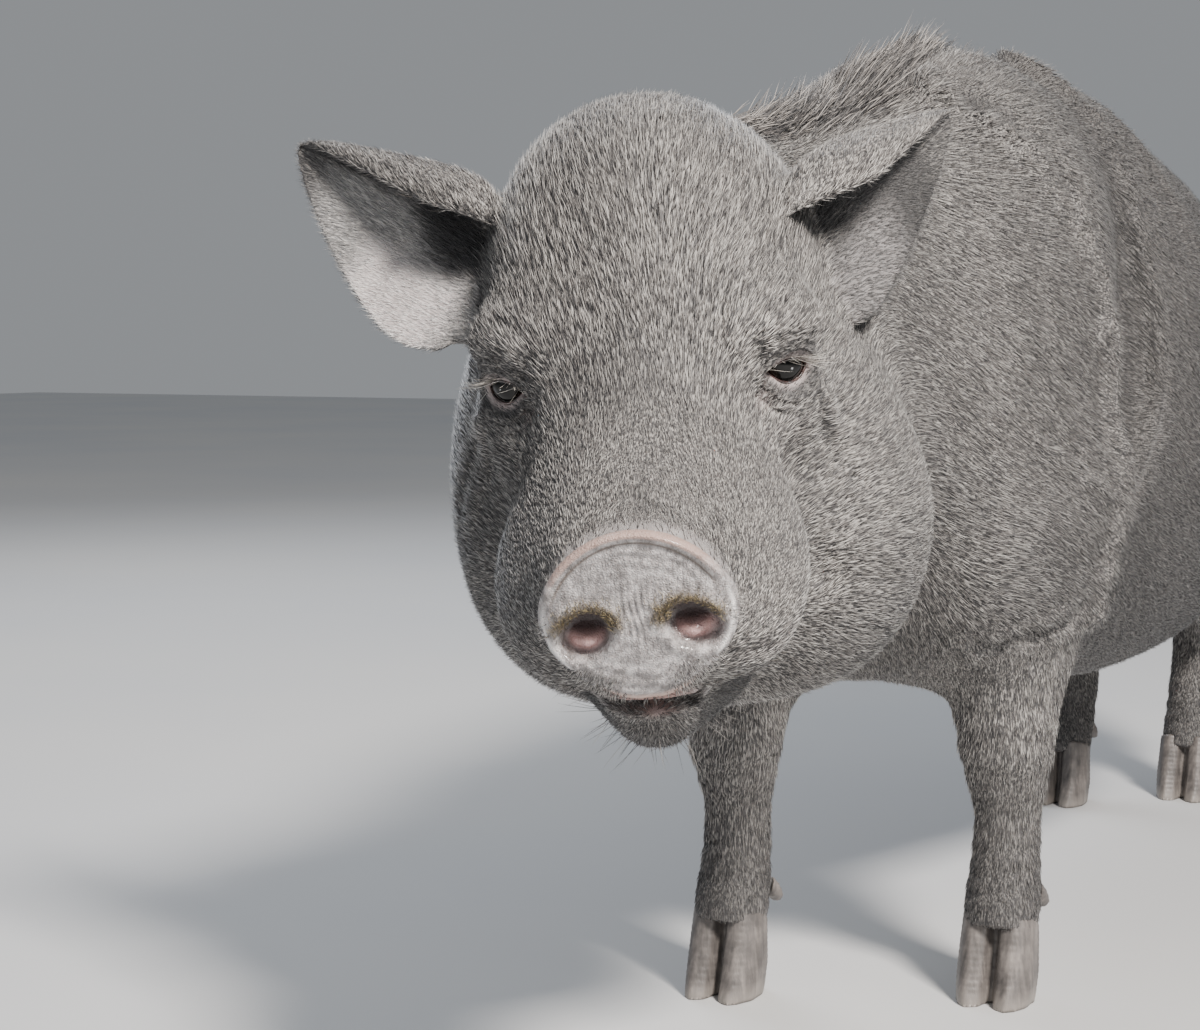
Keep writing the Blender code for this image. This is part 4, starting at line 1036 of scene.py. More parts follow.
# A wet eye: nearly black round the pupil, brown iris with fine spokes, greyed white.
wet_eye, tree, shader = new_material("wet_brown_eye")
facing = reading(tree, "facing")
where = add(tree, "ShaderNodeTexCoord").outputs["Object"]
spokes = add(tree, "ShaderNodeTexNoise", {"Vector": where, "Scale": 900.0, "Detail": 3.0}).outputs["Fac"]
shift = add(tree, "ShaderNodeMath", {0: spokes, 1: 0.5}, operation="SUBTRACT").outputs[0]
blurred = add(tree, "ShaderNodeMath", {0: shift, 1: 0.05, 2: facing}, operation="MULTIPLY_ADD").outputs[0]
white = ((0.0, "#4a423e"), (0.55, "#241d1b"), (0.66, "#080606"))
iris_and_pupil = ((0.74, "#1a100a"), (0.86, "#0e0805"), (0.92, "#020202"))
tone = ramp(tree, blurred, *white, *iris_and_pupil)
give(tree, shader, {"Base Color": tone, "Roughness": 0.08, "IOR": 1.376})

CORNEA_STARTS, CORNEA_BULGE = 0.72, 0.055  # cosine of the angle from the gaze, and share of the radius
for side, name in ((1, "eye_left"), (-1, "eye_right")):
    profile = []
    for angle in np.linspace(3, 170, 40):
        ahead = math.cos(math.radians(angle))
        bulge = max(0.0, (ahead - CORNEA_STARTS) / (1.0 - CORNEA_STARTS)) ** 1.5
        radius = EYE_RADIUS * 0.985 * (1.0 + CORNEA_BULGE * bulge)
        profile.append((radius * ahead, radius * math.sin(math.radians(angle))))
    ball = lathe(name + "_ball", profile, 48, eye_frame(side))
    store(ball, "facing", into(points_of(ball), eye_frame(side))[:, 2] / EYE_RADIUS)
    placed_piece(name + "_ball", ball, wet_eye, "eye", name)
print("eyes turned")

# %% [markdown]
# ## Wet edge of the lids
# Between ball and lid lies a thin moist rim, dark slate mottled with dusky pink; the pinkish inner corner
# comes from the skin's pink map. It is a slim tube swept along the almond, and the lashes are later sown
# on the skin of the upper lid beside it.

# %% Sweep the lid rims
# Moist bare skin: slate to dusky pink, glossy.
wet_rim, tree, shader = new_material("moist_lid_rim")
where = add(tree, "ShaderNodeTexCoord").outputs["Object"]
patches = add(tree, "ShaderNodeTexNoise", {"Vector": where, "Scale": 260.0, "Detail": 3.0}).outputs["Fac"]
tone = ramp(tree, patches, (0.35, "#1e1a1a"), (0.65, "#4c3835"))
give(tree, shader, {"Base Color": tone, "Roughness": 0.22, "Coat Weight": 0.6, "Coat Roughness": 0.08})

RIM_STEPS, RIM_RADIUS = 56, 0.00062
for side, name in ((1, "left"), (-1, "right")):
    turns = np.linspace(0, 2 * math.pi, RIM_STEPS, endpoint=False)
    flat = 1.0 - 0.40 * np.cos(turns) ** 2
    x, y = OPENING[0] * np.cos(turns) * 1.02, OPENING[1] * np.sin(turns) * flat * 1.02
    z = np.sqrt((EYE_RADIUS + 0.0004) ** 2 - x ** 2 - y ** 2)
    path = out_of(np.stack([x, y, z], axis=1), eye_frame(side))
    mesh = tube("lid_rim_" + name, path, np.full(RIM_STEPS, RIM_RADIUS), 8, True)
    placed_piece("lid_rim_" + name, mesh, wet_rim, "hide")
print("lid rims swept")

# %% [markdown]
# ## Snout disc
# The disc is a tough plate of gristle under bare, damp skin: a raised rim, a dished face, two nostrils
# that run back and outward with a moist pink cushion inside, and a net of fine creases. One fan of rings
# is laid out from the middle to the rim and on round its side, and every point's height is a sum of these
# forms.

# %% Lay out the disc
NOSTRIL_AT = (0.0204, -0.0064)
NOSTRIL_SIZE = (0.0106, 0.0090)


def nostril_share(x, z, side):
    """How far out a place is from the middle of a nostril: 1 on its rim."""
    u, v = x * side - NOSTRIL_AT[0], z - NOSTRIL_AT[1]
    return np.hypot(u / NOSTRIL_SIZE[0], (v + 0.20 * u) / NOSTRIL_SIZE[1]), u, v


RIDGE = ([0.0, 0.25, 0.60, 0.84, 0.88, 0.93, 0.97, 1.0], [0.0, 0.5, 1.2, 1.5, 1.4, 0.2, -0.2, 1.2])
ROUNDED = ([0.0, 0.50, 0.78, 0.88, 0.95, 1.0], [0.0, 0.3, 0.7, 1.5, 3.0, 5.2])  # depths in millimetres
PIT = ([0.0, 0.62, 0.80, 0.92, 1.0, 1.08, 1.18], [0.0092, 0.0090, 0.0080, 0.0048, 0.0016, 0.0004, 0.0])


def disc_depth(x, z, share):
    """How far behind the disc's own plane a place of its face lies."""
    crowned = step(z, 0.002, 0.015)
    depth = 0.001 * (np.interp(share, *RIDGE) * crowned + np.interp(share, *ROUNDED) * (1.0 - crowned))
    depth += 1.6 * x * x
    depth -= 0.0007 * bell(x, 0.006) * bell(z + 0.012, 0.012)
    depth += 0.0010 * bell(x, 0.0035) * step(-z, 0.020, 0.030)
    for side in (1, -1):
        out, u, v = nostril_share(x, z, side)
        depth -= (0.0008 + 0.0008 * step(u, 0.000, 0.006)) * bell(out - 1.30, 0.20)
        cushion = 0.0066 * np.exp(-(((u + 0.0006) / 0.0060) ** 2 + ((v + 0.0030) / 0.0040) ** 2))
        depth += np.interp(out, *PIT) - cushion * (out < 1.0)
    ripple = np.sin(x * 2600.0 + 2.0 * np.sin(z * 240.0)) * bell(x, 0.011) * bell(z - 0.004, 0.015)
    arcs = np.sin(share * 46.0 + 1.2 * np.sin(6.0 * np.arctan2(z, x)))
    arcs = arcs * step(share, 0.45, 0.70) * (1.0 - step(share, 0.80, 0.90))
    return depth + 0.00026 * ripple + 0.00022 * arcs


DISC_STEPS = 150
SIDE_WALL = ((0.0018, 1.004), (0.0036, 0.998), (0.0062, 0.975), (0.0090, 0.94))  # depth behind the rim, size


def snout_disc():
    """The disc's mesh: rings on the face, then the side wall that dives into the skin."""
    turns = np.linspace(0, 2 * math.pi, DISC_STEPS, endpoint=False)
    rings = []
    for share in np.concatenate([np.linspace(0.03, 0.84, 52), np.linspace(0.855, 1.0, 14)]):
        x, z = disc_outline(turns, share)
        rings.append(np.stack([x, disc_depth(x, z, np.full(DISC_STEPS, share)), z], axis=1))
    edge = rings[-1][:, 1]
    for behind, share in SIDE_WALL:
        x, z = disc_outline(turns, share)
        rings.append(np.stack([x, edge + behind, z], axis=1))
    return lofted("snout_disc", rings)


disc_mesh = snout_disc()
x, _, z = points_of(disc_mesh).T
share, turn = disc_share(x, z)
high = np.sin(turn)  # 1 at the top of the disc, -1 at the lip
outs = [nostril_share(x, z, side) for side in (1, -1)]
# Painted shade inside the nostrils: their pits are coloured near black.
inside = np.maximum(*[1.0 - step(out, 0.60, 1.02) for out, u, v in outs])
low_part = np.maximum(*[(1.0 - step(out, 0.45, 0.95)) * step(-v, -0.002, 0.004) for out, u, v in outs])
grime = np.maximum(*[bell(out - 1.15, 0.28) * step(v, -0.001, 0.005) for out, u, v in outs])
clear = np.minimum(*[step(out, 1.30, 1.60) for out, u, v in outs])
lip = step(-high, 0.82, 0.97) * step(share, 0.90, 0.97)
crown = step(high, 0.30, 0.80) * step(share, 0.925, 0.955) * 0.85
gleam = step(share, 0.80, 0.90) * step(-high, -0.25, 0.25) * (1.0 - step(-high, 0.75, 0.95))
# A painted highlight: a pale band where the wet disc glints, low on each side; it is also glossier there.
licked = bell(share - 0.945, 0.022) * (step(-high, -0.30, 0.00) * (1.0 - step(-high, 0.50, 0.80)))
beard = step(share, 0.62, 0.80) * step(-high, -0.15, 0.35) * step(np.abs(x), 0.006, 0.014) * clear
DISC_MAPS = {
    "pit": inside,
    # painted shade in the groove under the top rim
    "creased": step(high, 0.15, 0.50) * bell(share - 0.875, 0.016),
    "beard": beard * (share < 1.0),
    "rose": np.clip(low_part, 0, 1),
    "warm": np.clip(np.maximum(lip, crown), 0, 1),
    "gleam": np.clip(gleam + low_part + licked, 0, 1),
    "licked": licked,
    "grime": grime,
}
for name, values in DISC_MAPS.items():
    store(disc_mesh, name, values)
disc_mesh.transform(DISC)

# Bare damp skin on gristle: grey with a warm rim and a net of fine creases, glossier where it is wet.
# Painted shade darkens the groove under the top rim and the insides of the nostrils, and a painted highlight
# pales a wet band low on each side.
disc_skin, tree, shader = new_material("damp_snout_skin")
where = add(tree, "ShaderNodeTexCoord").outputs["Object"]
coarse = {"Vector": where, "Scale": 190.0, "Detail": 8.0, "Roughness": 0.68}
mottle = add(tree, "ShaderNodeTexNoise", coarse).outputs["Fac"]
grey = ramp(tree, mottle, (0.38, "#716d6c"), (0.5, "#9a9594"), (0.62, "#c0bbba"))
drawn = add(tree, "ShaderNodeMapping", {"Vector": where, "Scale": (1.0, 1.0, 0.25)}).outputs["Vector"]
lines = add(tree, "ShaderNodeTexNoise", {"Vector": drawn, "Scale": 700.0, "Detail": 3.0}).outputs["Fac"]
limits = {"Value": lines, "From Min": 0.55, "From Max": 0.70, "To Max": 0.55}
tone = over(tree, grey, "#4f4a4a", add(tree, "ShaderNodeMapRange", limits).outputs[0])
DISC_TONES = {  # in the order in which they are laid over the grey
    "warm": "#b3968b",
    # painted shade in the groove under the top rim
    "creased": "#5d524b",
    # painted highlight on the wet band
    "licked": "#e0dcda",
    "grime": "#5f5340",
    # painted shade inside the nostrils
    "pit": "#2c1719",
    "rose": "#dcb2ae",
}
for name, hex_code in DISC_TONES.items():
    tone = over(tree, tone, hex_code, reading(tree, name))
net = {"Vector": where, "Scale": 900.0}
pores = add(tree, "ShaderNodeTexVoronoi", net, feature="DISTANCE_TO_EDGE").outputs["Distance"]
fine = {"Vector": where, "Scale": 420.0, "Detail": 6.0, "Roughness": 0.6}
creases = add(tree, "ShaderNodeTexNoise", fine).outputs["Fac"]
height = add(tree, "ShaderNodeMath", {0: creases, 1: pores}, operation="ADD").outputs[0]
height = add(tree, "ShaderNodeMath", {0: height, 1: lines}, operation="SUBTRACT").outputs[0]
bump = add(tree, "ShaderNodeBump", {"Height": height, "Strength": 0.80, "Distance": 0.0009})
dull = {"Value": reading(tree, "gleam"), "To Min": 0.52, "To Max": 0.10}
give(tree, shader, {
    "Base Color": tone,
    "Normal": bump.outputs["Normal"],
    "Roughness": add(tree, "ShaderNodeMapRange", dull).outputs[0],
    "Subsurface Weight": 0.06,
    "Subsurface Radius": (0.004, 0.0015, 0.0010),
    "Coat Weight": 0.50,
    "Coat Roughness": 0.14,
})
placed_piece("snout_disc", disc_mesh, disc_skin, "snout", "snout")
print("disc", len(disc_mesh.polygons), "faces")

# %% [markdown]
# ## Claws
# Each foot stands on two main claws and has two small ones behind. The solids' claws are remeshed finely
# and softened, drawn up a little under the skin so that no gap shows, and ringed by the ridges that
# growing horn leaves. The soles are pressed flat on the ground again at the end.

# %% Shape the claws
CLAW_NODES = [f"claw_{foot}_{half}" for foot in FEET_NAMES for half in ("outer", "inner")]
DEWCLAW_NODES = ["dew" + name for name in CLAW_NODES]
TUCK = 0.010  # how far a main claw's upper end reaches up under the skin
CLAW_VOXEL = 0.0013
RIDGE_SPACING, RIDGE_HEIGHT = 0.0034, 0.00012  # of the ridges that growing horn leaves
SOLE = 0.0003  # height of the soles, a hair above the ground


def tucked(name):
    """A claw's copy; a main claw's upper end reaches up under the skin."""
    mesh = merged_copy(name, 0.0)
    points = points_of(mesh)
    if name.startswith("claw"):
        points[:, 2] += TUCK * step(points[:, 2], 0.024, 0.032)
    put_points(mesh, points)
    return mesh


claws = joined([tucked(name) for name in CLAW_NODES + DEWCLAW_NODES], "claws")
modified(claws, "REMESH", mode="VOXEL", voxel_size=CLAW_VOXEL)
points, edges = points_of(claws.data), edges_of(claws.data)
points = relaxed(points, edges, np.full(len(points), 0.5), 7)
normals = normals_of(claws.data)
slant = points[:, 2] + 0.12 * points[:, 1]
ridges = np.sin(slant * 2 * math.pi / RIDGE_SPACING) * step(points[:, 2], 0.003, 0.010)
points += normals * (RIDGE_HEIGHT * ridges - 0.0002)[:, None]
points[:, 2] = np.where(points[:, 2] < 0.0016, SOLE, points[:, 2])
put_points(claws.data, points)
claws_mesh = claws.data
bpy.data.objects.remove(claws)
claws_mesh.shade_smooth()

# Keratin: slate-brown horn, streaked along its growth, worn pale and chalky at the ground.
horn, tree, shader = new_material("grown_horn")
where = add(tree, "ShaderNodeTexCoord").outputs["Object"]
stretched = add(tree, "ShaderNodeMapping", {"Vector": where, "Scale": (1.0, 1.0, 0.12)}).outputs["Vector"]
streaks = add(tree, "ShaderNodeTexNoise", {"Vector": stretched, "Scale": 420.0, "Detail": 5.0}).outputs["Fac"]
bands = add(tree, "ShaderNodeTexNoise", {"Vector": where, "Scale": 95.0, "Detail": 3.0}).outputs["Fac"]
both = add(tree, "ShaderNodeMath", {0: streaks, 1: bands}, operation="ADD").outputs[0]
even = add(tree, "ShaderNodeMath", {0: both, 1: 0.5}, operation="MULTIPLY").outputs[0]
horn_tone = ramp(tree, even, (0.3, "#3f3c3b"), (0.5, "#625d5a"), (0.7, "#857e79"))
up_z = add(tree, "ShaderNodeSeparateXYZ", {"Vector": where}).outputs["Z"]
near_ground = {"Value": up_z, "From Min": 0.010, "From Max": 0.0, "To Min": 0.0, "To Max": 0.6}
worn = add(tree, "ShaderNodeMapRange", near_ground).outputs[0]
bump = add(tree, "ShaderNodeBump", {"Height": streaks, "Strength": 0.5, "Distance": 0.0006})
give(tree, shader, {
    "Base Color": over(tree, horn_tone, "#9a938c", worn),
    "Normal": bump.outputs["Normal"],
    "Roughness": 0.48,
    "IOR": 1.54,
})
placed_piece("horn_claws", claws_mesh, horn, "horn", *CLAW_NODES, *DEWCLAW_NODES)
print("claws", len(claws_mesh.polygons), "faces")

# %% [markdown]
# ## The lie of the coat
# Hair never points at random. On a pig it runs back from the disc over the face, up over the forehead,
# back and down along the body, and down the legs. Each point of the skin stores that direction, with the
# hair's length, how far it stands up, how thickly it grows, how dark, pale, bare and pink it is. The dark
# and pale maps hold painted shade and painted light as well as the animal's tones. Skin and coat read the
# same numbers, so their markings agree.

# %% Where the regions lie
points, normals, edges = points_of(skin.data), normals_of(skin.data), edges_of(skin.data)
local = into(points, HEAD)
head_here, legs, ear_here = on_head(points), leg_weight(points), read("ear")
ear_share, ear_place, ear_front = leaf_places(points, ear_here > 0.3)
eye_gap = eye_distance(points)
lip_gap, _ = from_path(local, laid(MOUTH, local))
disc_at = into(points, DISC)
disc_gap = np.hypot(disc_at[:, 0] / 0.038, disc_at[:, 2] / 0.0335) + 8.0 * np.maximum(disc_at[:, 1], 0.0)
tail_gap, down_tail = from_path(points, tail_path)
tail_here = (1.0 - step(tail_gap, 0.014, 0.022)) * step(points[:, 1], 0.405 + STAND.y, 0.430 + STAND.y)

muzzle = 1.0 - step(local[:, 1], -0.120, 0.000)
forehead = head_here * step(local[:, 2], 0.010, 0.050) * step(local[:, 1], -0.040, 0.020)
chin = head_here * step(-local[:, 2], 0.062, 0.085) * step(-local[:, 1], 0.050, 0.085)
spine = step(normals[:, 2], 0.75, 0.97) * (1.0 - head_here) * step(points[:, 2], 0.30, 0.40)
belly = step(-normals[:, 2], 0.3, 0.8) * (1.0 - legs) * (1.0 - head_here)
foot = 1.0 - step(points[:, 2], 0.040, 0.100)
hollow_edge = ear_place - 0.12 * step(ear_share, 0.15, 0.50)
hollow = ear_front * step(hollow_edge, 0.30, 0.37)
on_right = local[:, 0] < 0.0
# The lobe is full only on the animal's right ear: its pale bare skin there is partly painted light.
lobe = ear_front * (1.0 - step(ear_place, 0.24, 0.36)) * step(ear_share, -0.05, 0.10)
lobe *= (1.0 - step(ear_share, 0.42, 0.62)) * np.where(on_right, 1.0, 0.20)
ear_tip = (ear_here > 0.3) * step(ear_share, 0.72, 0.94)
rim = (ear_here > 0.3) * np.maximum(1.0 - step(ear_place, 0.02, 0.07), step(ear_place, 0.90, 0.95))
lower_leaf = ear_front * (1.0 - hollow) * (1.0 - ear_tip)
# crease is painted shade in the body's folds: a dark band along each fold, wider on its side towards the
# tail; near_crease shortens the coat near them.
crease, near_crease = np.zeros(len(points)), np.zeros(len(points))
for path, depth, width in BODY_FOLDS:
    for side, share, _ in FOLD_SIDES:
        fold = placed_fold(path, side)
        gap = from_path(points, laid(fold, points))[0]
        strength = share * depth / DEEPEST_FOLD
        shaded = width * (1.0 + 1.6 * (1.0 - in_front(points, fold)))
        crease = np.maximum(crease, strength * bell(gap, shaded))
        near_crease = np.maximum(near_crease, strength * bell(gap, 2.4 * width))
# Painted shade on the flank: darker behind the fold behind the neck, and darker still behind the shoulder's
# fold.
back_of_neck, back_of_shoulder = step(points[:, 1], -0.215, -0.190), step(points[:, 1], -0.12, -0.06)
painted_flank_shade = (0.45 * back_of_neck + 0.55 * back_of_shoulder) * (1.0 - legs) * (1.0 - 0.6 * spine)
upper_lip = head_here * step(local[:, 2], -0.070, -0.060) * (1.0 - step(lip_gap, 0.006, 0.012))

# %% Comb the coat
NOSE = np.array((0.0, -0.165, -0.028))
from_nose = local - NOSE
face_way = from_nose + np.array((0.0, 0.0, 0.020)) * head_here[:, None]
face_way = face_way @ np.array(HEAD)[:3, :3].T
face_way /= np.linalg.norm(face_way, axis=1)[:, None]
droop = 0.55 * (1.0 - np.abs(normals[:, 2])) + 0.9 * step(points[:, 1], 0.43, 0.52)
body_way = np.stack([np.zeros(len(points)), np.ones(len(points)), -droop], axis=1)
chest = step(-points[:, 1], 0.20, 0.27) * (1.0 - step(points[:, 2], 0.26, 0.34))
body_way = body_way * (1.0 - chest)[:, None] + np.array((0.0, 0.2, -1.0)) * chest[:, None]
LEG_WAY = np.array((0.0, 0.12, -1.0))
lie = body_way * (1.0 - legs)[:, None] + LEG_WAY * legs[:, None]
lie = lie * (1.0 - head_here)[:, None] + face_way * head_here[:, None]
tail_marks = np.linspace(0.0, 1.0, len(tail_path))
tail_way = np.gradient(np.array(tail_path), axis=0)
tail_way = np.stack([np.interp(down_tail, tail_marks, tail_way[:, k]) for k in range(3)], axis=1)
tail_way /= np.linalg.norm(tail_way, axis=1)[:, None]
lie = lie * (1.0 - tail_here)[:, None] + tail_way * tail_here[:, None]
ear_comb = np.zeros((len(points), 3))
for side in (1, -1):
    root, along, rise, faces, length = (np.array(v) for v in ear_axes(side))
    mine = ear_here * (local[:, 0] * side > 0.0)
    way = along + rise * (1.5 * (ear_place - 0.42))[:, None]
    lie = lie * (1.0 - mine)[:, None] + way * mine[:, None]
    ear_comb += (points - 0.86 * (points @ along)[:, None] * along) * (mine > 0.0)[:, None]
WANDER, WANDER_WAY = 0.16, np.array((55.0, 21.0, 33.0))
lie += WANDER * np.stack([np.sin(points @ WANDER_WAY + k * 2.1) for k in range(3)], axis=1)
for _ in range(2):
    lie = relaxed(lie, edges, np.full(len(points), 0.5), 4)
    lie -= normals * (lie * normals).sum(axis=1)[:, None]
    lie /= np.maximum(np.linalg.norm(lie, axis=1), 1e-6)[:, None]

# The hide's own texture is combed too: its space is squeezed along the lie, and its grains turn to streaks.
FACE_SPAN = 0.10  # metres from the nose at which the face's streaks have their true width
far = np.linalg.norm(from_nose, axis=1)
face_comb = from_nose / far[:, None] * (FACE_SPAN + 0.10 * far)[:, None]
BODY_WAY = np.array((0.0, 0.90, -0.436))
body_comb = points - 0.86 * (points @ BODY_WAY)[:, None] * BODY_WAY
limb_comb = np.where((ear_here > 0.01)[:, None], ear_comb, points * np.array((1.0, 1.0, 0.15)))
print("combed", len(points), "points")

# %% Length, lift, thickness and markings
length = 0.0082 + 0.0025 * spine - 0.0012 * belly
length = length * (1.0 - legs) + 0.0054 * legs
head_length = 0.0038 * muzzle + 0.0070 * (1.0 - muzzle) + 0.0010 * forehead
length = length * (1.0 - head_here) + head_length * head_here
length = length * (1.0 - foot) + 0.0032 * foot
length = length * (1.0 - ear_here) + (0.0048 - 0.0014 * ear_tip) * ear_here
length = length * (0.32 + 0.68 * step(eye_gap, 0.013, 0.032)) * (1.0 - 0.55 * near_crease)
lift = 0.19 + 0.07 * forehead + 0.08 * chin - 0.08 * foot

bare = np.maximum.reduce([
    0.70 * lobe,
    head_here * (1.0 - step(disc_gap, 1.02, 1.14)) * 0.8,
    head_here * (1.0 - step(eye_gap, 0.0130, 0.0165)),
    0.75 * (1.0 - step(points[:, 2], 0.036, 0.044)),
    0.9 * (1.0 - step(lip_gap, 0.0010, 0.0035)),
])
thick = (1.0 - 0.78 * bare) * (1.0 - 0.30 * belly) * (1.0 - 0.5 * hollow) * (1.0 - 0.70 * crease)


def patch_at(place, width):
    """A soft round patch about a place of the head's frame."""
    return np.exp(-(((local - np.array(place)) / width) ** 2).sum(axis=1))


# Darker coat and hide: the ear tips, the lower legs and a soft patch on the bridge are darker, and the other
# entries are painted shade, some only in part, as noted.
dark = np.maximum.reduce([
    # painted shade round the deep-set eyes
    0.90 * head_here * (1.0 - step(eye_gap, 0.012, 0.028)),
    # partly the ear's dark hair, partly painted shade under its rolled rim
    0.92 * hollow,
    0.55 * ear_tip,
    # painted shade on the inner leaf of the animal's left ear
    0.88 * lower_leaf * ~on_right,
    0.35 * patch_at((-0.012, -0.050, 0.026), 0.024),
    # painted shade on the flank behind the shoulder
    0.60 * painted_flank_shade,
    # painted shade in the body's folds
    crease,
    # painted shade in the dip above the disc
    0.85 * patch_at((0.004, -0.124, 0.024), 0.010),
    0.60 * (1.0 - step(points[:, 2], 0.050, 0.150)) * legs,
    # painted shade under the chin
    0.88 * chin,
    # painted shade in the line of the mouth
    0.85 * (1.0 - step(lip_gap, 0.0008, 0.0030)),
    # painted shade on the belly, which faces the floor
    0.35 * belly,
])
# Pale: the ear lobes' pale bare skin, and painted light on the lobe and lower leaf of the animal's right ear.
pale = np.maximum(lobe, 0.30 * lower_leaf * on_right)
TEAR = [(0.0465, -0.017, 0.000), (0.0405, -0.031, -0.0085)]  # the moist line below the eye's inner corner
tear_gap = np.minimum(*[from_path(local * np.array((side, 1, 1)), TEAR)[0] for side in (1, -1)])
lip_middle = (1.0 - step(np.abs(local[:, 0]), 0.008, 0.022)) * upper_lip * (1.0 - step(lip_gap, 0.002, 0.010))
pink = np.maximum.reduce([
    0.75 * bell(tear_gap, 0.0045),
    0.8 * lip_middle,
    0.15 * lobe,
    0.22 * head_here * (1.0 - step(eye_gap, 0.0130, 0.0160)),
])

# Long hair has maps of its own: the mane, the tail's brush, and the lashes along the upper lid.
brush = tail_here * step(down_tail, 0.22, 0.70)
lash, lash_lie = np.zeros(len(points)), lie.copy()
for side in (1, -1):
    at = into(points, eye_frame(side))
    out, angle = almond(at[:, 0], at[:, 1])
    past = past_lids(np.hypot(at[:, 0], at[:, 1]), out)
    grows = (at[:, 2] > 0.0) & (np.abs(past - 0.0013) < 0.0009) & (np.sin(angle) > 0.05)
    fan = np.stack([1.2 * at[:, 0] / OPENING[0], np.full(len(points), 0.30), np.ones(len(points))], axis=1)
    lash[grows] = 1.0
    lash_lie[grows] = (fan @ np.array(eye_frame(side))[:3, :3].T)[grows]
MAPS = {
    "lie": lie,
    "length": length,
    "lift": lift,
    "thick": thick,
    "dark": dark,
    "bare": bare,
    "pink": pink,
    "pale": pale,
    "face_comb": face_comb,
    "body_comb": body_comb,
    "limb_comb": limb_comb,
    "on_face": head_here,
    "on_limb": np.maximum(legs, ear_here),
    "even": np.ones(len(points)),
    "mane": crest_weight(points),
    "brush": brush,
    "lash": lash,
    "lash_lie": lash_lie,
    "whiskers": chin * step(-local[:, 1], 0.080, 0.110),
    "hollow": hollow * (1.0 - ear_tip),
    "rim": rim,
    "lip": upper_lip * (1.0 - step(disc_gap, 1.5, 2.2)),
}
for name, values in MAPS.items():
    store(skin.data, name, values)
print("coat's length from", round(length.min() * 1000, 1), "to", round(length.max() * 1000, 1), "mm")

# %% Share the skin out among regions and unwrap it
corners = corners_of(skin.data)
starts = values_of(skin.data.polygons, "loop_start", kind=np.int64)
sizes = values_of(skin.data.polygons, "loop_total", kind=np.int64)

REGIONS = ["ears", "head_left", "head_right", "neck_left", "neck_right"]
REGIONS += ["flank_left", "flank_right", "rump_left", "rump_right", "legs"]
NECK_END, FLANK_END = -0.035, 0.245
region = np.where(points[:, 1] < NECK_END, 3, np.where(points[:, 1] < FLANK_END, 5, 7)) + (points[:, 0] < 0.0)
region = np.where(legs > 0.35, 9, region)
region = np.where(head_here > 0.5, 1 + (local[:, 0] < 0.0), region)
region = np.where(ear_here > 0.5, 0, region)
face_region = region[corners[starts]]
skin.data.attributes.new("region", "INT", "FACE").data.foreach_set("value", face_region.astype(np.int32))

# Six charts, one for each way that a face can look, each laid flat in its own cell of the map.
flat_normals = values_of(skin.data.polygons, "normal", 3)
main_axis = np.abs(flat_normals).argmax(axis=1)
each = np.arange(len(main_axis))
corner_chart = np.repeat(main_axis * 2 + (flat_normals[each, main_axis] < 0), sizes)
low, high = points.min(axis=0), points.max(axis=0)
scaled = (points[corners] - low) / (high - low).max()
FLAT_AXES = np.array([(1, 2), (1, 2), (0, 2), (0, 2), (0, 1), (0, 1)])
each = np.arange(len(corners))
u, v = (scaled[each, FLAT_AXES[corner_chart, k]] for k in (0, 1))
column, row = corner_chart % 2, corner_chart // 2
unwrap = np.stack([(u * 0.96 + 0.02 + column) / 2, (v * 0.96 + 0.02 + row) / 3], axis=1)
skin.data.uv_layers.new(name="unwrap").data.foreach_set("uv", unwrap.ravel())
print({name: int((face_region == i).sum()) for i, name in enumerate(REGIONS)})

# %% [markdown]
# ## Hide and bristle
# The hide is slate grey, wrinkled in a fine net, and shows pale where it is bare: inside the ear, round
# the disc and on the chin. Painted light pales the lobe of the animal's right ear further, and painted
# shade darkens the folds, the flank, the belly, the chin, the mouth, the eye sockets and the ears' hollows.
# Its short flat fur is a combed relief with a tone of its own. A bristle is dark at the root and silver at
# the tip, and some stay dark all the way, which gives the salted look that breeders call agouti.

# %% Hide
# Pig's hide under short fur: slate skin, silver streaks half a millimetre wide along the lie, a wrinkled net.
hide, tree, shader = new_material("wrinkled_slate_hide")
where = add(tree, "ShaderNodeTexCoord").outputs["Object"]


def streaks(tree, name):
    """Fine grain drawn out along the lie."""
    combed = reading(tree, name, "Vector")
    return add(tree, "ShaderNodeTexNoise", {"Vector": combed, "Scale": 1250.0, "Detail": 2.0}).outputs["Fac"]


def blended(tree, amount, under, above):
    """One number faded into another."""
    return add(tree, "ShaderNodeMix", {"Factor": amount, 2: under, 3: above}, data_type="FLOAT").outputs[0]


fur = blended(tree, reading(tree, "on_face"), streaks(tree, "body_comb"), streaks(tree, "face_comb"))
fur = blended(tree, reading(tree, "on_limb"), fur, streaks(tree, "limb_comb"))
mottle = add(tree, "ShaderNodeTexNoise", {"Vector": where, "Scale": 38.0, "Detail": 5.0}).outputs["Fac"]
slate = ramp(tree, mottle, (0.3, "#3b3a3b"), (0.55, "#4d4b4b"), (0.75, "#5f5c5a"))
limits = {"Value": fur, "From Min": 0.47, "From Max": 0.60, "To Max": 0.90}
tone = over(tree, slate, "#a29e99", add(tree, "ShaderNodeMapRange", limits).outputs[0])
# The dark map: the darker ear tips, lower legs and bridge, and painted shade in the folds, on the flank and
# belly, under the chin, in the mouth's line, round the eyes and in the ears.
tone = over(tree, tone, "#2b2a2b", reading(tree, "dark"))
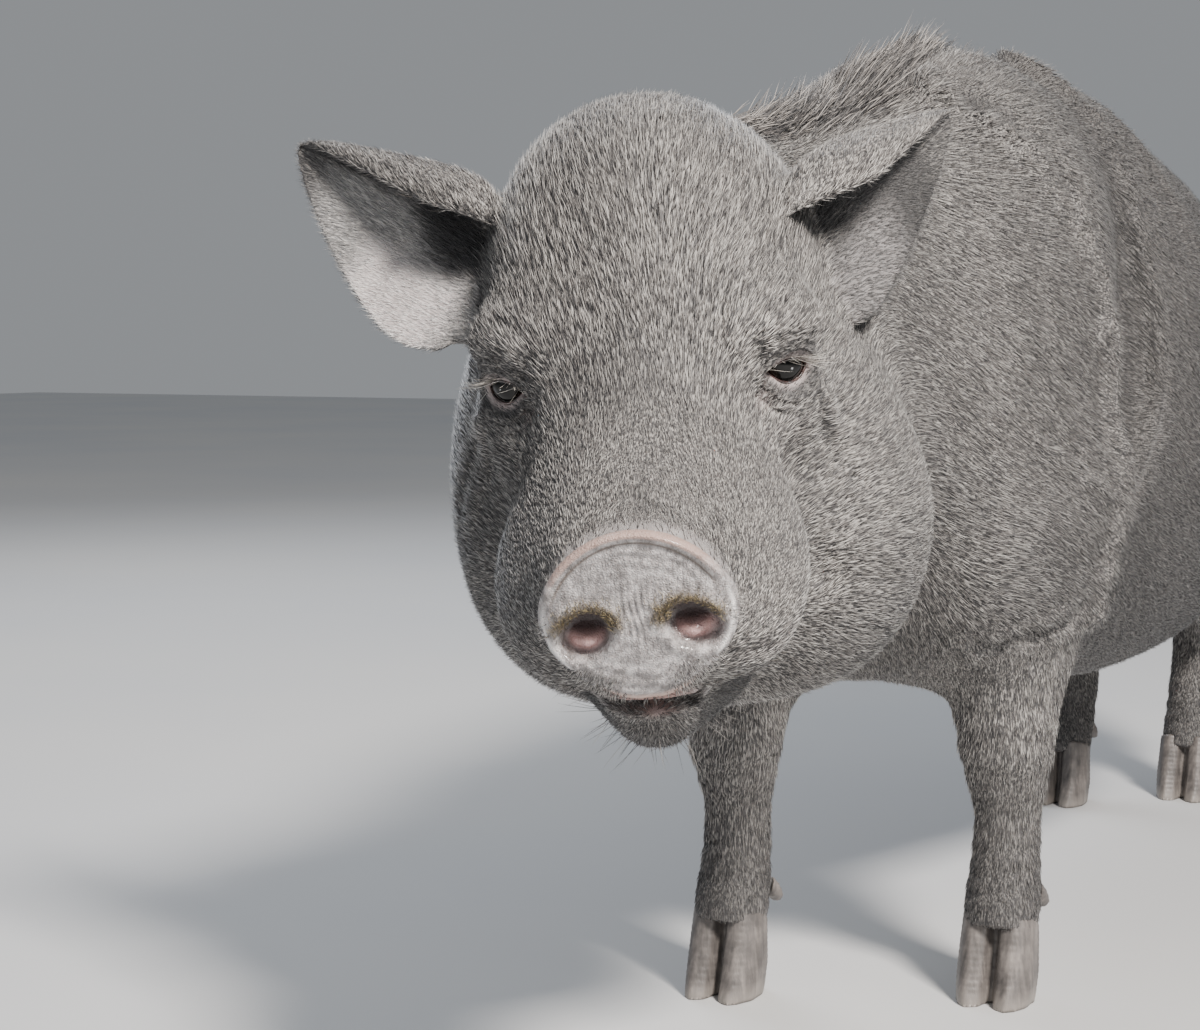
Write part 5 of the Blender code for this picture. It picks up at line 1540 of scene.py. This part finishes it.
# The pale map: the ear lobes' pale bare skin, and painted light on the animal's right ear.
tone = over(tree, tone, "#e4e1e0", reading(tree, "pale"))
veins = add(tree, "ShaderNodeTexNoise", {"Vector": where, "Scale": 120.0, "Detail": 4.0}).outputs["Fac"]
skin_tone = ramp(tree, veins, (0.35, "#8f8a89"), (0.65, "#aca7a6"))
bare_share = {"Factor": reading(tree, "bare"), 6: tone, 7: skin_tone}
naked = add(tree, "ShaderNodeMix", bare_share, data_type="RGBA").outputs[2]
tone = over(tree, naked, "#b38f88", reading(tree, "pink"))
net = {"Vector": where, "Scale": 330.0}
net = add(tree, "ShaderNodeTexVoronoi", net, feature="DISTANCE_TO_EDGE").outputs["Distance"]
wide = {"Vector": where, "Scale": 70.0, "Detail": 5.0, "Roughness": 0.55}
folds = add(tree, "ShaderNodeTexNoise", wide).outputs["Fac"]
relief = add(tree, "ShaderNodeMath", {0: net, 1: 0.25, 2: folds}, operation="MULTIPLY_ADD").outputs[0]
relief = add(tree, "ShaderNodeMath", {0: fur, 1: 0.80, 2: relief}, operation="MULTIPLY_ADD").outputs[0]
bump = add(tree, "ShaderNodeBump", {"Height": relief, "Strength": 0.80, "Distance": 0.0016})
give(tree, shader, {
    "Base Color": tone,
    "Normal": bump.outputs["Normal"],
    "Roughness": 0.58,
    "Subsurface Weight": 0.04,
    "Subsurface Radius": (0.004, 0.002, 0.0015),
})
placed = skin.data
bpy.data.objects.remove(skin)
DRESSED = [name for name in FLESH if name not in ("snout", "eye_left", "eye_right")]
skin = placed_piece("hide", placed, hide, "hide", *DRESSED, "tail", "ear_left", "ear_right")

# %% Bristle
def bristle_material(name, dark_tip, mid_tip, pale_tip, root, marks_and_painted_light=True):
    """Bristles from a dark root to tips of three tones, dimmed or paled by the skin's dark and pale maps,
    which hold markings, painted shade and painted light.
    """
    made, tree, shader = new_material(name)
    stops = ((0.22, dark_tip), (0.40, mid_tip), (0.62, mid_tip), (0.84, pale_tip))
    tip = ramp(tree, reading(tree, "shade"), *stops)
    limits = {"Value": reading(tree, "along"), "From Min": 0.05, "From Max": 0.50}
    part = add(tree, "ShaderNodeMapRange", limits).outputs[0]
    tone = add(tree, "ShaderNodeMix", {"Factor": part, 6: colour(root), 7: tip}, data_type="RGBA").outputs[2]
    if marks_and_painted_light:
        # The pale map brings painted light and the dark map painted shade into the bristles.
        tone = over(tree, tone, "#f0eeec", reading(tree, "pale"))
        tone = over(tree, tone, "#262527", reading(tree, "dark"))
    give(tree, shader, {"Base Color": tone, "Roughness": 0.46, "IOR": 1.55, "Sheen Weight": 0.15})
    return made


coat = bristle_material("agouti_bristle", "#2f2d2f", "#8d8884", "#dcd8d2", "#373536")
dark_bristle = bristle_material("dark_bristle", "#1e1d1e", "#34312f", "#6b635a", "#1b1a1b")
mane_bristle = bristle_material("mane_bristle", "#262527", "#5f5b59", "#aca6a0", "#2b2a2b", marks_and_painted_light=False)
whisker = bristle_material("whisker", "#2b2a2b", "#5f5b58", "#a9a39c", "#2b2a2b", marks_and_painted_light=False)
pale_bristle = bristle_material("pale_bristle", "#9a948c", "#beb8b0", "#e2ddd6", "#77726d", marks_and_painted_light=False)
grimy_bristle = bristle_material("earth_stained_bristle", "#4a3f2c", "#86764f", "#b3a176", "#3c3325")

# %% [markdown]
# ## One tree for every bristle
# A bristle repeats hundreds of thousands of times, so Geometry Nodes sow it: points are scattered over
# one region of the skin as thickly as its map says, each takes its way from the lie and the lift, and a
# tiny closed spike is set on it with its root sunk in. The instances are realized, as the pieces have to
# be plain meshes.

# %% Build the sowing tree
def spike(name, stations, bend):
    """A three-sided closed spike along Z, from its sunk root to its tip, bending towards -X."""
    vertices, along, patch = [], [], []
    for height, radius in stations:
        for k in range(3):
            turn = 2.0 * math.pi * k / 3
            x = radius * math.cos(turn) - bend * height ** 2
            vertices.append((x, radius * math.sin(turn), height))
            along.append(height)
            patch.append((k / 2, height, 0.0))
    vertices.append((-bend, 0.0, 1.0))
    along.append(1.0)
    patch.append((0.5, 1.0, 0.0))
    faces = [(2, 1, 0)]
    for i in range(len(stations) - 1):
        for k in range(3):
            m = (k + 1) % 3
            faces.append((i * 3 + k, i * 3 + m, i * 3 + 3 + m, i * 3 + 3 + k))
    last = (len(stations) - 1) * 3
    faces += [(last + k, last + (k + 1) % 3, last + 3) for k in range(3)]
    mesh = bpy.data.meshes.new(name)
    mesh.from_pydata(vertices, [], faces)
    store(mesh, "along", along)
    store(mesh, "patch", patch)
    return linked(name, mesh)


SOCKET_KINDS = {
    "Skin": "NodeSocketGeometry",
    "Region": "NodeSocketInt",
    "Bristles per square metre": "NodeSocketFloat",
    "Thickness map": "NodeSocketString",
    "Lie map": "NodeSocketString",
    "Length map": "NodeSocketString",
    "Length": "NodeSocketFloat",
    "Half width": "NodeSocketFloat",
    "Stray": "NodeSocketFloat",
    "Extra lift": "NodeSocketFloat",
    "Seed": "NodeSocketInt",
    "Bristle": "NodeSocketObject",
    "Finish": "NodeSocketMaterial",
}


def sowing_tree():
    """The Geometry Nodes tree that sows bristles over one region, or over the whole skin where that is -1."""
    tree = bpy.data.node_groups.new("sow_bristles", "GeometryNodeTree")
    for name, kind in SOCKET_KINDS.items():
        tree.interface.new_socket(name, in_out="INPUT", socket_type=kind)
    tree.interface.new_socket("Coat", in_out="OUTPUT", socket_type="NodeSocketGeometry")
    given = tree.nodes.new("NodeGroupInput").outputs
    seed = given["Seed"]

    def named(kind, name):
        read_map = add(tree, "GeometryNodeInputNamedAttribute", {"Name": name}, data_type=kind)
        return read_map.outputs["Attribute"]

    def sum_of(first, second):
        return add(tree, "ShaderNodeMath", {0: first, 1: second}, operation="ADD").outputs[0]

    def product(first, second):
        return add(tree, "ShaderNodeMath", {0: first, 1: second}, operation="MULTIPLY").outputs[0]

    def scaled_by(vector, amount):
        return add(tree, "ShaderNodeVectorMath", {0: vector, "Scale": amount}, operation="SCALE").outputs[0]

    def random(low, high, offset):
        own = sum_of(seed, float(offset))
        return add(tree, "FunctionNodeRandomValue", {2: low, 3: high, 8: own}, data_type="FLOAT").outputs[1]

    wanted_region = given["Region"]
    same = {2: named("INT", "region"), 3: wanted_region}
    here = add(tree, "FunctionNodeCompare", same, data_type="INT", operation="EQUAL").outputs[0]
    below_zero = {2: wanted_region, 3: 0}
    anywhere = add(tree, "FunctionNodeCompare", below_zero, data_type="INT", operation="LESS_THAN").outputs[0]
    chosen = add(tree, "FunctionNodeBooleanMath", {0: here, 1: anywhere}, operation="OR").outputs[0]
    wanted = product(named("FLOAT", given["Thickness map"]), given["Bristles per square metre"])
    sown = add(
        tree,
        "GeometryNodeDistributePointsOnFaces",
        {"Mesh": given["Skin"], "Selection": chosen, "Density": wanted, "Seed": seed},
    )
    stray = add(
        tree,
        "FunctionNodeRandomValue",
        {0: (-1.0,) * 3, 1: (1.0,) * 3, 8: sum_of(seed, 11.0)},
        data_type="FLOAT_VECTOR",
    ).outputs[0]
    strayed = scaled_by(stray, given["Stray"])
    lie_here = named("FLOAT_VECTOR", given["Lie map"])
    level = add(tree, "ShaderNodeVectorMath", {0: lie_here, 1: strayed}, operation="ADD").outputs[0]
    up = sum_of(named("FLOAT", "lift"), given["Extra lift"])
    raised = scaled_by(sown.outputs["Normal"], up)
    way = add(tree, "ShaderNodeVectorMath", {0: level, 1: raised}, operation="ADD").outputs[0]
    pointed = add(tree, "FunctionNodeAlignRotationToVector", {"Vector": way}, axis="Z").outputs[0]
    turned = add(
        tree,
        "FunctionNodeAlignRotationToVector",
        {"Rotation": pointed, "Vector": sown.outputs["Normal"]},
        axis="X",
        pivot_axis="Z",
    ).outputs[0]
    long = product(product(named("FLOAT", given["Length map"]), given["Length"]), random(0.70, 1.20, 23))
    wide = product(given["Half width"], random(0.75, 1.25, 37))
    size = add(tree, "ShaderNodeCombineXYZ", {"X": wide, "Y": wide, "Z": long}).outputs[0]
    shape = add(tree, "GeometryNodeObjectInfo", {"Object": given["Bristle"]}).outputs["Geometry"]
    set_down = add(
        tree,
        "GeometryNodeInstanceOnPoints",
        {"Points": sown.outputs["Points"], "Instance": shape, "Rotation": turned, "Scale": size},
    ).outputs[0]
    shaded = add(
        tree,
        "GeometryNodeStoreNamedAttribute",
        {"Geometry": set_down, "Name": "shade", "Value": random(0.0, 1.0, 51)},
        data_type="FLOAT",
        domain="INSTANCE",
    ).outputs[0]
    realized = add(tree, "GeometryNodeRealizeInstances", {"Geometry": shaded}).outputs[0]
    dressed = {"Geometry": realized, "Material": given["Finish"]}
    finished = add(tree, "GeometryNodeSetMaterial", dressed).outputs[0]
    out = tree.nodes.new("NodeGroupOutput")
    tree.links.new(finished, out.inputs[0])
    return tree


SOWING = sowing_tree()
SOCKETS = {item.name: item.identifier for item in SOWING.interface.items_tree if item.in_out == "INPUT"}
PATCH = 0.003  # side of each bristle's patch on its map
KEPT_MAPS = ("along", "shade", "dark", "pale", "material_index")
COMMON = {  # the tree's inputs that few pieces change
    "Region": -1,
    "Thickness map": "thick",
    "Lie map": "lie",
    "Length map": "even",
    "Length": 1.0,
    "Extra lift": 0.0,
}
SQUARE_CM_PER_M = 1e4
made_triangles = {}


def sow(name, ground, bristle, finish, seed, per_square_cm, half_width, stray, **others):
    """Grows bristles on the ground, as a finished piece with its own map; others set more of the inputs."""
    obj = linked(name, ground)
    modifier = obj.modifiers.new("sow", "NODES")
    modifier.node_group = SOWING
    values = {key: others.get(key.replace(" ", "_").lower(), usual) for key, usual in COMMON.items()}
    values.update({"Seed": seed, "Bristle": bristle, "Finish": finish})
    values.update({"Bristles per square metre": per_square_cm * SQUARE_CM_PER_M})
    values.update({"Half width": half_width, "Stray": stray})
    for key, value in values.items():
        modifier[SOCKETS[key]] = value
    mesh = applied(obj)
    bpy.data.objects.remove(obj)
    root = values_of(mesh.attributes["unwrap"].data, "vector", 2)
    patch = values_of(mesh.attributes["patch"].data, "vector", 3)
    place = root + (patch[:, :2] - 0.5) * PATCH
    corners = corners_of(mesh)
    spare = [a.name for a in mesh.attributes if not a.is_required and a.name[0] != "."]
    for spare_name in [name for name in spare if name not in KEPT_MAPS]:
        mesh.attributes.remove(mesh.attributes[spare_name])
    mesh.uv_layers.new(name="OFBake").data.foreach_set("uv", place[corners].ravel())
    placed_piece(name, mesh, finish, "hide")
    made_triangles[name] = triangles(mesh)
    print(name, made_triangles[name], "triangles")


# %% Sow the short coat
SHORT = spike("short_bristle", [(-0.10, 1.0)], 0.0)
COAT_PIECES = {  # bristles per square centimetre, half width in metres, stray
    "ears": (62.0, 0.00022, 0.22),
    "head_left": (54.0, 0.00025, 0.17),
    "head_right": (54.0, 0.00025, 0.17),
    "neck_left": (42.0, 0.00028, 0.17),
    "neck_right": (28.0, 0.00034, 0.17),
    "flank_left": (31.0, 0.00030, 0.17),
    "flank_right": (23.0, 0.00036, 0.17),
    "rump_left": (25.0, 0.00033, 0.17),
    "rump_right": (23.0, 0.00035, 0.17),
    "legs": (34.0, 0.00026, 0.17),
}
for number, (name, (per_cm, half_width, stray)) in enumerate(COAT_PIECES.items()):
    own = dict(region=REGIONS.index(name), length_map="length")
    sow("coat_" + name, skin.data, SHORT, coat, 100 + number, per_cm, half_width, stray, **own)

# %% [markdown]
# ## Long hair
# A boar's mane stands along the neck and withers, and the tail ends in a brush. Pale lashes fringe the
# upper lids, dark hair fills the hollow of the ear, and sparse whiskers hang from the chin. Earth sticks
# to the hair that fringes the top of each nostril.

# %% Sow the long hair
LONG = spike("long_bristle", [(-0.06, 1.0), (0.35, 0.86), (0.70, 0.55)], 12.0)
CURLED = spike("lash", [(-0.06, 1.0), (0.35, 0.86), (0.70, 0.50)], 10.0)
LONG_HAIR = {  # bristle, finish, per square centimetre, half width, stray, and the tree's other inputs
    "mane": (LONG, mane_bristle, 18.0, 0.00036, 0.20,
             dict(thickness_map="mane", length_map="mane", length=0.034, extra_lift=0.20)),
    "tail_brush": (LONG, mane_bristle, 30.0, 0.00034, 0.14,
                   dict(thickness_map="brush", length_map="brush", length=0.052)),
    "ear_hair": (LONG, dark_bristle, 22.0, 0.00018, 0.30,
                 dict(thickness_map="hollow", length=0.011, extra_lift=0.30)),
    "ear_fringe": (SHORT, coat, 60.0, 0.00019, 0.35,
                   dict(thickness_map="rim", length=0.0050, extra_lift=0.20)),
    "lashes": (CURLED, pale_bristle, 75.0, 0.00013, 0.16,
               dict(thickness_map="lash", lie_map="lash_lie", length=0.012)),
    "whiskers": (LONG, whisker, 2.6, 0.00012, 0.45,
                 dict(thickness_map="whiskers", length=0.020, extra_lift=0.50)),
    "lip_bristles": (LONG, dark_bristle, 15.0, 0.00014, 0.40,
                     dict(thickness_map="lip", length=0.0060, extra_lift=0.40)),
}
for number, (name, (bristle, finish, per_cm, half_width, stray, others)) in enumerate(LONG_HAIR.items()):
    sow(name, skin.data, bristle, finish, 201 + number, per_cm, half_width, stray, **others)

disc_ground = disc_mesh.copy()
count = len(disc_ground.vertices)
upward = np.array(DISC.to_3x3() @ Vector((0.0, -0.6, 0.8)))
GROUND_MAPS = {"lie": np.tile(upward, (count, 1)), "lift": np.full(count, 0.3), "even": np.ones(count)}
for name, values in GROUND_MAPS.items():
    store(disc_ground, name, values)
flat = into(points_of(disc_ground), DISC)[:, [0, 2]]
fanned = np.stack([flat[:, 0], np.full(count, -0.012), np.minimum(flat[:, 1], 0.0) - 0.004], axis=1)
store(disc_ground, "fanned", 50.0 * fanned @ np.array(DISC)[:3, :3].T)
corners = corners_of(disc_ground)
disc_ground.uv_layers.new(name="unwrap").data.foreach_set("uv", (flat * 4.0 + 0.5)[corners].ravel())
earthy = dict(thickness_map="grime", length=0.0044)
sow("nostril_hair", disc_ground, SHORT, grimy_bristle, 211, 190.0, 0.00016, 0.40, **earthy)
disc_beard = dict(thickness_map="beard", lie_map="fanned", length=0.0034, extra_lift=0.20)
sow("disc_bristles", disc_ground, SHORT, coat, 212, 130.0, 0.00015, 0.35, **disc_beard)
bpy.data.meshes.remove(disc_ground)
for shape in (SHORT, LONG, CURLED):
    bpy.data.objects.remove(shape)
print("all hair", sum(made_triangles.values()), "triangles")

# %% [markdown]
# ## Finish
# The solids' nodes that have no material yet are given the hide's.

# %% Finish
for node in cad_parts.values():
    if not node.data.materials:
        node.data.materials.append(hide)
